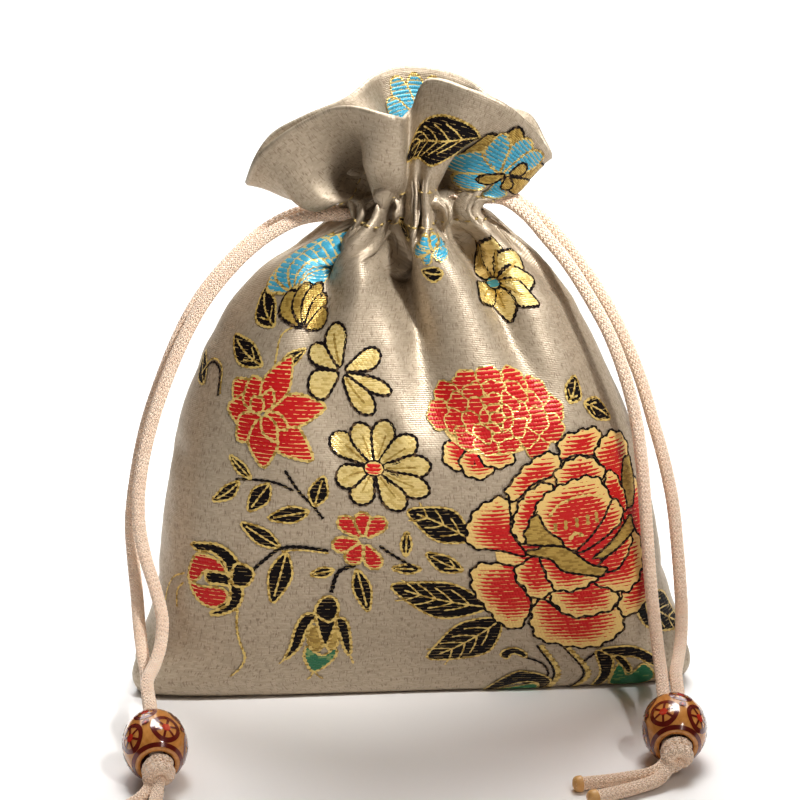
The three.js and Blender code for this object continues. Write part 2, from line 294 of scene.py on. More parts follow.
def makeToneGroup():
    # Streaks of tone along a piece: grain in wood, uneven dye in yarn
    group = bpy.data.node_groups.new("toneStreaks", "ShaderNodeTree")
    for name in ("Place", "Streak"):
        group.interface.new_socket(name, in_out="INPUT", socket_type="NodeSocketVector")
    group.interface.new_socket("Tone", in_out="OUTPUT", socket_type="NodeSocketFloat")
    start, end = group.nodes.new("NodeGroupInput"), group.nodes.new("NodeGroupOutput")
    stretch, noise = group.nodes.new("ShaderNodeMapping"), group.nodes.new("ShaderNodeTexNoise")
    noise.inputs["Scale"].default_value = 1
    noise.inputs["Detail"].default_value = 2
    group.links.new(start.outputs["Place"], stretch.inputs["Vector"])
    group.links.new(start.outputs["Streak"], stretch.inputs["Scale"])
    group.links.new(stretch.outputs[0], noise.inputs["Vector"])
    clear = calc(group, "MULTIPLY_ADD", noise.outputs[0], 2.0, -0.5)
    group.links.new(calc(group, "MINIMUM", calc(group, "MAXIMUM", clear, 0.0), 1.0), end.inputs["Tone"])
    return group


finishSet = {  # light and dark tone, roughness, streaks to a metre along X, Y and Z
    "cordSatin": ((255, 233, 211), (252, 223, 198), 0.42, (420, 420, 420)),
    "amber": ((232, 188, 128), (208, 160, 102), 0.35, (700, 700, 700)),
    "stitchThread": ((218, 194, 134), (190, 164, 104), 0.4, (300, 300, 300)),
    "lacquer": ((212, 153, 86), (180, 119, 58), 0.2, (1100, 130, 1100)),
    "maroon": ((112, 34, 22), (94, 26, 18), 0.2, (500, 500, 500)),
    "ruby": ((198, 58, 34), (170, 45, 26), 0.2, (500, 500, 500)),
    "bore": ((116, 44, 24), (90, 32, 16), 0.5, (900, 130, 900)),
}
coatSet = {"on": ("lacquer", "maroon", "ruby"), "weight": 0.8, "roughness": 0.08}
sheenSet = {"on": ("cordSatin",), "weight": 0.5, "roughness": 0.4}
toneGroup = makeToneGroup()
finishes = {}
for name, (light, dark, rough, streak) in finishSet.items():
    finishes[name], shade = newMaterial(name, light, rough)
    tree = finishes[name].node_tree
    place, tone = tree.nodes.new("ShaderNodeTexCoord"), tree.nodes.new("ShaderNodeGroup")
    tone.node_tree = toneGroup
    tone.inputs["Streak"].default_value = streak
    tree.links.new(place.outputs["Object"], tone.inputs["Place"])
    colour = blend(tree, tone.outputs["Tone"], linear(*light), linear(*dark))
    tree.links.new(colour, shade.inputs["Base Color"])
    for word, layer in (("Coat", coatSet), ("Sheen", sheenSet)):
        if name in layer["on"]:
            shade.inputs[word + " Weight"].default_value = layer["weight"]
            shade.inputs[word + " Roughness"].default_value = layer["roughness"]
print("materials", 1 + len(threadMaterials) + len(finishes))


# Cords
cordSet = {
    "diameter": 2.8, "loopRadius": 9.1, "exitBend": 5.6, "spread": 1.7, "level": 1.7, "channelLevel": 103.5,
    "pitch": 0.55, "ticks": 11, "core": 1.24, "yarnAt": 1.16, "yarnLong": 1.7, "yarnWide": 0.68,
    "yarnThick": 0.22, "lean": 0.75, "step": 0.4,
}
beadSet = {
    "diameter": 12.8, "length": 12.2, "travel": 10, "floorGap": 0.4, "strandGap": 0.2, "lip": 0.9,
    "boreGap": 0.25, "steepest": 0.94, "edge": 0.25, "edgeDepth": 0.3, "levels": 41, "corners": 72,
}
sides = {
    "left": {
        "side": -1, "bead": (-52.4, -47.3), "lie": (-0.12, 0.96, 0.25), "across": (0, 0.25, -0.96),
        "front": [
            (-18, -1.75, 101.9), (-23.5, -2.1, 101), (-30.6, -3, 97.2), (-36.9, -4, 91.6),
            (-42.3, -5.2, 85), (-46.4, -6.6, 78), (-50, -8.2, 70), (-53.4, -10.2, 60.5), (-55.8, -12, 50),
            (-56.3, -13.2, 41), (-55.2, -13.8, 33.5), (-53.3, -14.2, 26.5), (-52, -15, 20),
            (-52.4, -17.4, 15.4), (-53.4, -22, 13.2),
        ],
        "back": [
            (-18, 1.75, 101.9), (-23.5, 1.6, 101.4), (-30.6, 1, 97.8), (-37.2, 0, 92), (-43.3, -1.1, 84.8),
            (-47.5, -2.5, 77.6), (-51.2, -4, 69), (-54.7, -5.6, 59), (-57.1, -7, 48), (-58.2, -8.2, 39),
            (-57.9, -9, 31), (-57.4, -9.7, 24), (-57, -11, 17.6), (-56.3, -14.2, 12.6),
            (-55.4, -19.5, 10.4),
        ],
        "tails": [
            [(-51.6, -60.5, 2.4), (-52.2, -64, 1.55), (-53.4, -68.5, 1.5)],
            [(-53.8, -59.6, 2.2), (-57, -63.4, 1.5), (-61.4, -69, 1.5)],
        ],
    },
    "right": {
        "side": 1, "bead": (50.3, -42.9), "lie": (0.05, 0.97, 0.24), "across": (1, -0.05, 0),
        "front": [
            (18, -1.9, 105), (22.6, -3, 102), (26.4, -4.4, 97.8), (30.6, -6.8, 93), (35, -9.4, 86.4),
            (38.9, -11.8, 79.4), (41.8, -13, 72), (44.3, -13.5, 63), (45.9, -14.2, 53), (46.8, -14.3, 44),
            (47.6, -14.3, 35), (48.4, -14.4, 26.5), (49.2, -15, 19.6), (49.7, -17.4, 14.8),
            (49.8, -21, 12.3),
        ],
        "back": [
            (18, 1.8, 105), (23.4, 1.2, 102.4), (28.4, 0.2, 98), (33.4, -1.1, 92), (38.8, -2.8, 84),
            (42.6, -4.4, 76.8), (46, -6.4, 68.6), (48.8, -8.2, 59.4), (51.2, -9.4, 51), (53, -10.2, 42.6),
            (54.1, -10.8, 33.8), (54.9, -11.3, 25.6), (55.3, -12.4, 18.6), (54.8, -15.6, 13.8),
            (53.7, -20.4, 11.8),
        ],
        "tails": [
            [(45.6, -53.6, 2.6), (39, -54.6, 1.55), (29.8, -56.6, 1.5)],
            [(46.2, -55.6, 2.2), (40.4, -59, 1.5), (32.1, -62.9, 1.5)],
        ],
    },
}


def smoothRoute(points, step):
    # Centripetal curve through the points, then points at an even step
    knots = np.asarray(points, dtype=float)
    knots = np.vstack([2 * knots[0] - knots[1], knots, 2 * knots[-1] - knots[-2]])
    out = []
    for a, b, c, d in zip(knots[:-3], knots[1:-2], knots[2:-1], knots[3:]):
        t1 = np.linalg.norm(b - a) ** 0.5
        t2 = t1 + np.linalg.norm(c - b) ** 0.5
        t3 = t2 + np.linalg.norm(d - c) ** 0.5
        t = np.linspace(t1, t2, 24, endpoint=False)[:, None]
        ab = a + (b - a) * t / t1
        bc = b + (c - b) * (t - t1) / (t2 - t1)
        cd = c + (d - c) * (t - t2) / (t3 - t2)
        abc = ab + (bc - ab) * t / t2
        bcd = bc + (cd - bc) * (t - t1) / (t3 - t1)
        out.append(abc + (bcd - abc) * (t - t1) / (t2 - t1))
    out = np.vstack(out + [knots[-2:-1]])
    along = np.concatenate([[0], np.cumsum(np.linalg.norm(np.diff(out, axis=0), axis=1))])
    even = np.linspace(0, along[-1], max(2, int(round(along[-1] / step)) + 1))
    return np.stack([np.interp(even, along, out[:, k]) for k in range(3)], 1)


def unit(v):
    v = np.asarray(v, dtype=float)
    return v / np.linalg.norm(v)


def acrossAxes(lie):
    first = unit(np.cross(lie, (0, 0, 1)))
    return first, np.cross(lie, first)


def routeLength(route):
    return float(np.linalg.norm(np.diff(route, axis=0), axis=1).sum())


def exitPoints(side, way):
    # From the loop in the channel out through the gap: way -1 in front, 1 behind
    level = cordSet["channelLevel"] + side * cordSet["level"]
    hub = cordSet["loopRadius"] + cordSet["exitBend"]
    leave = math.asin((cordSet["exitBend"] + cordSet["spread"]) / hub)
    points = []
    for i in range(5):
        turned = leave + (math.pi / 2 - leave) * i / 4
        x = hub * math.cos(leave) - cordSet["exitBend"] * math.cos(turned)
        y = hub * math.sin(leave) - cordSet["exitBend"] * math.sin(turned)
        points.append((side * x, way * y, level))
    return points


def beadPlace(s):
    return np.array([*s["bead"], beadSet["diameter"] / 2 + beadSet["floorGap"]])


def strandRoute(s, way):
    half = beadSet["length"] / 2
    across = unit(s["across"]) * way * (cordSet["diameter"] + beadSet["strandGap"]) / 2
    levels = (half + beadSet["travel"] + 2, half + beadSet["travel"] / 2, 0, -half)
    inBead = [beadPlace(s) + unit(s["lie"]) * level + across for level in levels]
    return exitPoints(s["side"], way) + (s["front"] if way < 0 else s["back"]) + inBead


def tubeMesh(route, radius, corners):
    # Rings along a route, turned as little as possible, with closed ends
    tangent = np.gradient(route, axis=0)
    tangent /= np.linalg.norm(tangent, axis=1, keepdims=True)
    normal = np.cross(tangent[0], (0.3, 0.2, 1.0))
    points = []
    radius = np.broadcast_to(radius, len(route))
    for p, t, r in zip(route, tangent, radius):
        normal = unit(normal - t * np.dot(normal, t))
        side = np.cross(t, normal)
        angle = np.arange(corners) * 2 * math.pi / corners
        points.append(p + r * (np.cos(angle)[:, None] * normal + np.sin(angle)[:, None] * side))
    n = len(route)
    faces = []
    for i in range(n - 1):
        for k in range(corners):
            after = (k + 1) % corners
            faces.append((
                i * corners + k, i * corners + after, (i + 1) * corners + after, (i + 1) * corners + k,
            ))
    faces.append(tuple(reversed(range(corners))))
    faces.append(tuple(range((n - 1) * corners, n * corners)))
    return np.vstack(points), faces


def nodeTree(name, inputs):
    group = bpy.data.node_groups.new(name, "GeometryNodeTree")
    group.interface.new_socket("Geometry", in_out="INPUT", socket_type="NodeSocketGeometry")
    for socket, kind in inputs:
        group.interface.new_socket(socket, in_out="INPUT", socket_type=kind)
    group.interface.new_socket("Geometry", in_out="OUTPUT", socket_type="NodeSocketGeometry")
    return group, group.nodes.new("NodeGroupInput"), group.nodes.new("NodeGroupOutput")


def pointsAlong(group, start):
    # The route as a curve, points at an even step, each turned to face along it
    curve, even = group.nodes.new("GeometryNodeMeshToCurve"), group.nodes.new("GeometryNodeResampleCurve")
    even.mode = "LENGTH"
    points = group.nodes.new("GeometryNodeCurveToPoints")
    points.mode = "EVALUATED"
    group.links.new(start.outputs["Geometry"], curve.inputs["Mesh"])
    group.links.new(curve.outputs["Curve"], even.inputs["Curve"])
    group.links.new(start.outputs["Step"], even.inputs["Length"])
    group.links.new(even.outputs["Curve"], points.inputs["Curve"])
    return even, points


def placeOn(group, points, thing, selection=None):
    info, on = group.nodes.new("GeometryNodeObjectInfo"), group.nodes.new("GeometryNodeInstanceOnPoints")
    group.links.new(thing, info.inputs["Object"])
    group.links.new(points.outputs["Points"], on.inputs["Points"])
    group.links.new(info.outputs["Geometry"], on.inputs["Instance"])
    group.links.new(points.outputs["Rotation"], on.inputs["Rotation"])
    if selection:
        group.links.new(selection, on.inputs["Selection"])
    return on.outputs["Instances"]


def finishTree(group, end, parts, material):
    kinds = ("JoinGeometry", "RealizeInstances", "SetMaterial")
    join, real, paint = (group.nodes.new("GeometryNode" + kind) for kind in kinds)
    for part in parts:
        group.links.new(part, join.inputs["Geometry"])
    group.links.new(join.outputs["Geometry"], real.inputs["Geometry"])
    group.links.new(real.outputs["Geometry"], paint.inputs["Geometry"])
    group.links.new(material, paint.inputs["Material"])
    group.links.new(paint.outputs["Geometry"], end.inputs["Geometry"])


def makeBraidTree():
    # Rings of slanted yarn, one row leaning left and the next right, over a core
    inputs = [
        ("Step", "NodeSocketFloat"), ("Core", "NodeSocketFloat"), ("Lean One", "NodeSocketObject"),
        ("Lean Two", "NodeSocketObject"), ("Yarn", "NodeSocketMaterial"),
    ]
    group, start, end = nodeTree("braid", inputs)
    even, points = pointsAlong(group, start)
    circle = group.nodes.new("GeometryNodeCurvePrimitiveCircle")
    tube = group.nodes.new("GeometryNodeCurveToMesh")
    circle.inputs["Resolution"].default_value = 10
    group.links.new(start.outputs["Core"], circle.inputs["Radius"])
    group.links.new(even.outputs["Curve"], tube.inputs["Curve"])
    group.links.new(circle.outputs["Curve"], tube.inputs["Profile Curve"])
    tube.inputs["Fill Caps"].default_value = True
    index = group.nodes.new("GeometryNodeInputIndex")
    oddRow = calc(group, "MODULO", index.outputs[0], 2)
    one = placeOn(group, points, start.outputs["Lean One"], oddRow)
    two = placeOn(group, points, start.outputs["Lean Two"], calc(group, "SUBTRACT", 1, oddRow))
    finishTree(group, end, [tube.outputs["Mesh"], one, two], start.outputs["Yarn"])
    return group


def makeStitchTree():
    inputs = [("Step", "NodeSocketFloat"), ("Stitch", "NodeSocketObject"), ("Thread", "NodeSocketMaterial")]
    group, start, end = nodeTree("stitches", inputs)
    points = pointsAlong(group, start)[1]
    finishTree(group, end, [placeOn(group, points, start.outputs["Stitch"])], start.outputs["Thread"])
    return group


def runTree(name, routes, group, values):
    # Lay the node tree over one or more routes and keep the plain mesh
    points = np.vstack(routes) * mm
    edges, first = [], 0
    for route in routes:
        edges += [(first + i, first + i + 1) for i in range(len(route) - 1)]
        first += len(route)
    mesh = bpy.data.meshes.new(name + "Route")
    mesh.from_pydata(points.tolist(), edges, [])
    guide = bpy.data.objects.new(name + "Route", mesh)
    scene.collection.objects.link(guide)
    modifier = guide.modifiers.new("nodes", "NODES")
    modifier.node_group = group
    for item in group.interface.items_tree:
        if item.in_out == "INPUT" and item.name in values:
            modifier[item.identifier] = values[item.name]
    made = bpy.data.meshes.new_from_object(guide.evaluated_get(bpy.context.evaluated_depsgraph_get()))
    bpy.data.objects.remove(guide)
    made.name = name
    made.shade_smooth()
    piece = bpy.data.objects.new(name, made)
    scene.collection.objects.link(piece)
    return piece


def spindle(centre, along, wide, thick):
    # One short float of yarn: pointed at both ends, flat underneath
    points = [centre - along, centre + wide, centre + thick, centre - wide, centre + along]
    return points, [(0, 2, 1), (0, 3, 2), (4, 1, 2), (4, 2, 3), (0, 1, 4, 3)]


def yarnRing(name, lean, shift):
    points, faces = [], []
    for k in range(cordSet["ticks"]):
        q = 2 * math.pi * (k + shift) / cordSet["ticks"]
        out = np.array([math.cos(q), math.sin(q), 0])
        along = np.array([-math.sin(q) * math.sin(lean), math.cos(q) * math.sin(lean), math.cos(lean)])
        wide = np.cross(out, along)
        yarn, yarnFaces = spindle(
            out * cordSet["yarnAt"], along * cordSet["yarnLong"] / 2, wide * cordSet["yarnWide"] / 2,
            out * cordSet["yarnThick"],
        )
        faces += [tuple(len(points) + corner for corner in face) for face in yarnFaces]
        points += yarn
    return meshObject(name, np.array(points) * mm, faces)


braidTree, stitchTree = makeBraidTree(), makeStitchTree()
leanOne, leanTwo = yarnRing("leanOne", cordSet["lean"], 0), yarnRing("leanTwo", -cordSet["lean"], 0.5)


def braid(name, routes, tight=1.0):
    return runTree(name, routes, braidTree, {
        "Step": cordSet["pitch"] * mm * tight, "Core": cordSet["core"] * mm,
        "Lean One": leanOne, "Lean Two": leanTwo, "Yarn": finishes["cordSatin"],
    })


strandPieces = {}
for sideName, s in sides.items():
    for way, word in ((-1, "Front"), (1, "Back")):
        route = smoothRoute(strandRoute(s, way), cordSet["step"])
        strand = braid(sideName + word + "Strand", [route])
        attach(strand, "pouch")
        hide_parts(sideName + "_drawcord")
        strandPieces[sideName, word] = (strand, route)
        print(strand.name, "length", round(routeLength(route), 1), "mm", len(strand.data.polygons), "faces")

# Pouch cloth: rows from the bottom fold to the rim, columns round from the left seam by the front
clothSet = {
    "columns": 160, "rows": 70, "flatWidth": 120.0, "flatTop": 113.0, "channelAt": 115.0, "ruffle": 26.0,
    "halfWidth": 51.8, "halfDepth": 17.0, "channelLevel": 103.5, "neckRadius": 12.7, "neckDepth": 11.8,
    "folds": 7, "gathers": 21, "foldAt": -42.0, "gatherMost": 2.3, "gatherBand": 4.5, "exitSpread": 7.0,
    "thickness": 0.6, "turned": 0.5, "cap": 9.0, "twist": 0.04, "clear": 0.1,
}
girth = 2 * clothSet["flatWidth"]
bodyStations = np.array([  # share of half width, of half depth, of channel level, squareness
    [1.05, 0.66, 0.0, 4.2], [1.115, 0.755, 0.014, 4.2], [1.145, 0.81, 0.05, 4.0], [1.1, 0.86, 0.116, 3.5],
    [1.034, 0.904, 0.232, 2.9], [0.995, 0.984, 0.367, 2.7], [0.945, 1.0, 0.483, 2.6],
    [0.88, 0.979, 0.599, 2.5], [0.80, 0.936, 0.705, 2.4], [0.69, 0.872, 0.812, 2.3],
    [0.54, 0.809, 0.889, 2.15], [0.38, 0.745, 0.937, 2.05],
])
rimPoints = np.array([  # place round the cloth, x, y, z
    [0.000, -33.5, 0.5, 107.5], [0.045, -30.8, -6.5, 115.3], [0.095, -22.8, -8.5, 122.1],
    [0.145, -14.0, -11.0, 125.6], [0.192, -3.6, -14.0, 124.2], [0.222, -1.2, -6.0, 123.0],
    [0.252, 1.8, -6.5, 130.0], [0.305, 10.5, -11.5, 129.0], [0.350, 17.5, -12.5, 126.0],
    [0.395, 23.5, -9.5, 120.0], [0.440, 27.6, -3.0, 113.5], [0.490, 26.6, 3.5, 115.5],
    [0.535, 24.0, 8.0, 119.5], [0.580, 18.5, 8.5, 122.0], [0.625, 13.0, 13.5, 125.0],
    [0.680, 6.0, 14.5, 127.6], [0.735, -2.0, 14.0, 128.4], [0.785, -8.5, 11.0, 127.0],
    [0.835, -14.5, 5.0, 124.0], [0.885, -21.5, 4.0, 121.0], [0.935, -28.0, 4.5, 117.2],
    [0.970, -31.6, 2.8, 112.5],
])
dents = [  # depth, place round the cloth, its width, share up the ruffle, its width
    (5.0, 0.11, 0.035, 0.5, 0.4), (10.0, 0.36, 0.024, 0.34, 0.26), (5.0, 0.58, 0.03, 0.5, 0.4),
    (5.0, 0.82, 0.03, 0.5, 0.4), (-2.0, 0.15, 0.03, 0.4, 0.3), (-2.0, 0.3, 0.03, 0.4, 0.3),
]
# How far a fold of the ruffle leans aside and how far it hangs, in the same order
slides = [(-2.0, 0.16, 0.03, 0.42, 0.3), (-2.5, 0.3, 0.03, 0.4, 0.3)]
sags = [(4.5, 0.05, 0.05, 0.5, 0.3), (3.0, 0.45, 0.045, 0.45, 0.3)]


def loopSpline(points, at):
    # Closed smooth curve through the points, read at places 0 to 1
    place = np.concatenate([points[-2:, 0] - 1, points[:, 0], points[:2, 0] + 1])
    value = np.concatenate([points[-2:, 1:], points[:, 1:], points[:2, 1:]])
    slope = (value[2:] - value[:-2]) / (place[2:] - place[:-2])[:, None]
    place, value = place[1:-1], value[1:-1]
    j = np.clip(np.searchsorted(place, at, side="right") - 1, 0, len(place) - 2)
    h = (place[j + 1] - place[j])[:, None]
    t = (at - place[j])[:, None] / h
    return ((2 * t ** 3 - 3 * t ** 2 + 1) * value[j] + (t ** 3 - 2 * t ** 2 + t) * h * slope[j]
            + (-2 * t ** 3 + 3 * t ** 2) * value[j + 1] + (t ** 3 - t ** 2) * h * slope[j + 1])


def flatWidthAt(v):
    return clothSet["flatWidth"] + (clothSet["flatTop"] - clothSet["flatWidth"]) * ease(v, 12, 72)


def pushed(marks, place, up):
    return sum(d * bump(place, p, w) * bump(up, q, r) for d, p, w, q, r in marks)


def startShape():
    # Loft of the body with folds and gathers that take up the spare cloth, then the ruffle from neck to rim
    c = clothSet
    cols, rows = c["columns"], c["rows"]
    total = c["channelAt"] + c["ruffle"]
    v = np.linspace(0, total, rows + 1)
    place = np.arange(cols) / cols
    angle = 2 * math.pi * (place - 0.25)  # 0 at the front
    rx, ry, level = c["neckRadius"], c["neckDepth"], c["channelLevel"]
    profile = [(bodyStations[0][0] * c["halfWidth"] * 1.03, 0.02, 0, 2)]
    profile += [(w * c["halfWidth"], d * c["halfDepth"], h * level, n) for w, d, h, n in bodyStations]
    profile += [(rx * 1.24, ry * 1.16, level - 3.2, 2), (rx, ry, level + 0.6, 2), (rx, ry, level + 3.4, 2)]
    profile = np.array(profile)
    top = c["channelAt"] + 2.8
    along = np.concatenate([[0], np.cumsum(np.hypot(np.diff(profile[:, 1]), np.diff(profile[:, 2])))])
    along *= c["channelAt"] / along[-2]
    along[-1] = top
    fine = np.linspace(0, top, 600)
    smooth = []
    for k in range(4):
        y = np.interp(fine, along, profile[:, k])
        for _ in range(60):
            y[1:-1] = (y[:-2] + 2 * y[1:-1] + y[2:]) / 4
        smooth.append(np.interp(np.minimum(v, top), fine, y))
    a, b, z, n = smooth
    steep = np.linspace(0, 1.6, 200)  # height of a wave over its length, and how much cloth it takes up
    wave = np.cos(np.linspace(0, 2 * math.pi, 400))
    taken = np.array([np.sqrt(1 + (2 * math.pi * k * wave) ** 2).mean() for k in steep])
    jitter = 0.25 * np.sin(3 * angle + 0.7) + 0.18 * np.sin(5 * angle + 2.1)
    foldWave = np.cos(c["folds"] * (angle - math.radians(c["foldAt"])) + jitter)
    gatherWave = np.cos(c["gathers"] * angle + 0.9 * np.sin(4 * angle + 1) + 0.7 * np.sin(7 * angle) + 0.6)
    atSide = np.abs(np.sin(angle))
    theta = np.linspace(0, 2 * math.pi, 2881) + math.pi
    points = np.zeros((rows + 1, cols, 3))
    for j in range(rows + 1):
        power = 2 / n[j]
        x = a[j] * np.sign(np.cos(theta)) * np.abs(np.cos(theta)) ** power
        y = b[j] * np.sign(np.sin(theta)) * np.abs(np.sin(theta)) ** power
        arc = np.concatenate([[0], np.cumsum(np.hypot(np.diff(x), np.diff(y)))])
        around, at, eps = arc[-1], place * arc[-1], arc[-1] / 2000
        tx = np.interp((at + eps) % around, arc, x) - np.interp((at - eps) % around, arc, x)
        ty = np.interp((at + eps) % around, arc, y) - np.interp((at - eps) % around, arc, y)
        size = np.hypot(tx, ty) + 1e-9
        spare = max(2 * float(flatWidthAt(v[j])) / around, 1.0)
        near = math.exp(-((min(v[j], top) - c["channelAt"]) / c["gatherBand"]) ** 2)
        foldHeight = np.interp(spare ** (1 - near), taken, steep) * around / c["folds"]
        gatherHeight = np.interp(spare ** near, taken, steep) * around * spare ** (1 - near) / c["gathers"]
        gatherHeight = min(gatherHeight, c["gatherMost"])
        out = foldHeight * (1 - 0.45 * atSide ** 3) * (foldWave - 0.35) + gatherHeight * (gatherWave - 1)
        out = out * min(1.0, max(0.0, (v[j] - 25) / 15))
        opened = min(1.0, max(0.0, (v[j] - c["channelAt"] + 1.5) / 6)) ** 1.3
        spread = atSide ** 4 * c["exitSpread"] * opened  # room for the cords at both exits
        points[j, :, 0] = np.interp(at, arc, x) + ty / size * out + np.sign(np.sin(angle)) * spread
        points[j, :, 1] = np.interp(at, arc, y) - tx / size * out
        points[j, :, 2] = z[j] - spread * 0.25
    points[0, :, 1] = 0
    last = int(np.nonzero(v <= top + 1e-6)[0][-1])
    foot = points[last].copy()
    rim = loopSpline(rimPoints, place)
    hub = np.stack([rx * 0.88 * np.sin(angle), -ry * 0.88 * np.cos(angle), foot[:, 2]], 1)
    hub[:, 0] += np.sign(np.sin(angle)) * atSide ** 4 * 6.65
    for j in range(last + 1, rows + 1):
        t = (v[j] - v[last]) / (total - v[last])
        base = hub + (foot - hub) * (1 - t) ** 2.2
        bend = hub + (rim - hub) * np.array([0.42, 0.42, 0.4]) + np.array([0, 0, 1.0])
        row = (1 - t) ** 2 * base + 2 * t * (1 - t) * bend + t ** 2 * rim
        inward = -row[:, :2] / (np.linalg.norm(row[:, :2], axis=1, keepdims=True) + 1e-9)
        row[:, :2] += inward * pushed(dents, place, t)[:, None]
        row[:, 0] += pushed(slides, place, t)
        row[:, 2] -= pushed(sags, place, t)
        points[j] = row
    across = np.where(place <= 0.5, place * 2 - 0.5, 1.5 - place * 2)
    layer = np.where((place > 1e-6) & (np.abs(place - 0.5) > 1e-6), np.where(place < 0.5, -0.25, 0.25), 0)
    flat = np.zeros_like(points)
    flat[:, :, 0] = across[None, :] * flatWidthAt(v)[:, None]
    flat[:, :, 1] = layer
    flat[:, :, 2] = v[:, None]
    flat[0, :, 1] = 0
    return points, flat, v


def zipped(grid):  # the bottom row is shared by front and back
    cols = grid.shape[1]
    return np.concatenate([grid[0, :cols // 2 + 1], grid[1:].reshape(-1, grid.shape[2])])


def zippedFaces(rows, cols):
    def at(j, i):
        i %= cols
        return min(i, cols - i) if j == 0 else cols // 2 + 1 + (j - 1) * cols + i
    faces = []
    for j in range(rows):
        for i in range(cols):
            corners = [at(j, i), at(j, i + 1), at(j + 1, i + 1), at(j + 1, i)]
            faces.append(tuple(dict.fromkeys(corners)))
    return faces


def unzipped(points, rows, cols):
    head = cols // 2 + 1
    grid = np.zeros((rows + 1, cols, 3))
    grid[0] = points[:head][[min(i, cols - i) for i in range(cols)]]
    grid[1:] = points[head:].reshape(rows, cols, 3)
    return grid


drapeSet = {
    "scale": 10, "frames": 32, "quality": 6, "mass": 0.02, "tension": 25, "compression": 1, "shear": 2,
    "bending": 3, "pressure": 3.5, "damping": 3, "soft": 0.05, "gravity": 0.4, "apart": 0.005,
    "heldBase": 9, "heldNeck": 3.4,
}


def drape(points, flat, v):
    # The flat shape gives the cloth its size and the filling presses it out; base, neck and ruffle are held
    c, d = clothSet, drapeSet
    rows, cols = c["rows"], c["columns"]
    size = mm * d["scale"]
    piece = meshObject("drape", zipped(points) * size, zippedFaces(rows, cols))
    piece.shape_key_add(name="start")
    flatKey = piece.shape_key_add(name="flat")
    flatKey.data.foreach_set("co", (zipped(flat) * size).ravel())
    height = np.concatenate([np.zeros(cols // 2 + 1), np.repeat(v[1:], cols)])
    held = np.where((height < d["heldBase"]) | (height > c["channelAt"] - d["heldNeck"]), 1.0, d["soft"])
    group = piece.vertex_groups.new(name="held")
    for i, w in enumerate(held):
        group.add([i], float(w), "REPLACE")
    modifier = piece.modifiers.new("cloth", "CLOTH")
    cloth = modifier.settings
    cloth.quality = d["quality"]
    cloth.mass = d["mass"]
    cloth.tension_stiffness = d["tension"]
    cloth.compression_stiffness = d["compression"]
    cloth.shear_stiffness = d["shear"]
    cloth.bending_stiffness = d["bending"]
    cloth.air_damping = d["damping"]
    cloth.use_pressure = True
    cloth.uniform_pressure_force = d["pressure"]
    cloth.vertex_group_mass = "held"
    cloth.rest_shape_key = flatKey
    cloth.effector_weights.gravity = d["gravity"]
    modifier.collision_settings.use_collision = False
    modifier.collision_settings.use_self_collision = True
    modifier.collision_settings.self_distance_min = d["apart"]
    modifier.point_cache.frame_end = d["frames"]
    for moment in range(1, d["frames"] + 1):
        scene.frame_set(moment)
    mesh = piece.evaluated_get(bpy.context.evaluated_depsgraph_get()).data
    moved = np.zeros(len(mesh.vertices) * 3)
    mesh.vertices.foreach_get("co", moved)
    moved = unzipped(moved.reshape(-1, 3) / size, rows, cols)
    bpy.data.objects.remove(piece)
    scene.frame_set(1)
    step = moved - points
    far = np.linalg.norm(step, axis=2, keepdims=True)
    return points + step * np.minimum(1, c["cap"] / np.maximum(far, 1e-9))


bodyOutline = np.array([  # height, half width, lean to the left
    [0, 58.6, 0], [5, 59.5, 0], [17, 54.9, 0], [25, 53, 0.3], [38, 51.2, 0.8], [51, 48.5, 1.4],
    [62, 45.3, 2.0], [72, 41, 2.4], [83, 35.5, 2.2], [90, 30, 1.2], [95.6, 24.4, 0.4], [99.5, 19.5, 0.2],
    [104, 14.5, 0],
])


def fitOutline(grid, v):
    # The filled body keeps its outline from the front; a little twist brings the left of the base forward
    grid = grid.copy()
    half = grid.shape[1] // 2
    low, high = grid[:, :, 0].min(1), grid[:, :, 0].max(1)
    width = np.interp(grid[:, [0, half], 2], bodyOutline[:, 0], bodyOutline[:, 1])
    lean = np.interp(grid[:, [0, half], 2], bodyOutline[:, 0], bodyOutline[:, 2])
    toLow, toHigh = -width[:, 0] - lean[:, 0], width[:, 1] - lean[:, 1]
    stretch = (toHigh - toLow) / (high - low)
    wanted = toLow[:, None] + (grid[:, :, 0] - low[:, None]) * stretch[:, None]
    share = 1 - ease(v, clothSet["channelAt"] - 9, clothSet["channelAt"] - 2)
    shift = (wanted - grid[:, :, 0]) * share[:, None]
    for _ in range(3):
        shift[1:-1] = (shift[:-2] + 2 * shift[1:-1] + shift[2:]) / 4
    grid[:, :, 0] += shift
    grid[:, :, 1] += clothSet["twist"] * grid[:, :, 0] * (1 - ease(grid[:, :, 2], 5, 60))
    grid[:, :, 2] = np.maximum(grid[:, :, 2], 0.12)
    return grid


def calmFolds(grid, v):
    # The wide folds below the neck are eased out here; the ones that show are laid in with the creases
    weight = ease(v, 64, 80) * (1 - ease(v, 103, 111))
    reach = np.arange(-24, 25)
    share = np.exp(-(reach / 10.0) ** 2)
    calm = sum(w * np.roll(grid, k, 1) for k, w in zip(reach, share / share.sum()))
    return grid + (calm - grid) * weight[:, None, None]


startPoints, flatPoints, rowHeights = startShape()
clothGrid = drape(startPoints, flatPoints, rowHeights)
clothGrid = fitOutline(calmFolds(clothGrid, rowHeights), rowHeights)
print("pouch cloth", clothGrid.min((0, 1)).round(1), clothGrid.max((0, 1)).round(1))

# Smooth surface over the draped rows and columns
clothHeight = clothSet["channelAt"] + clothSet["ruffle"]


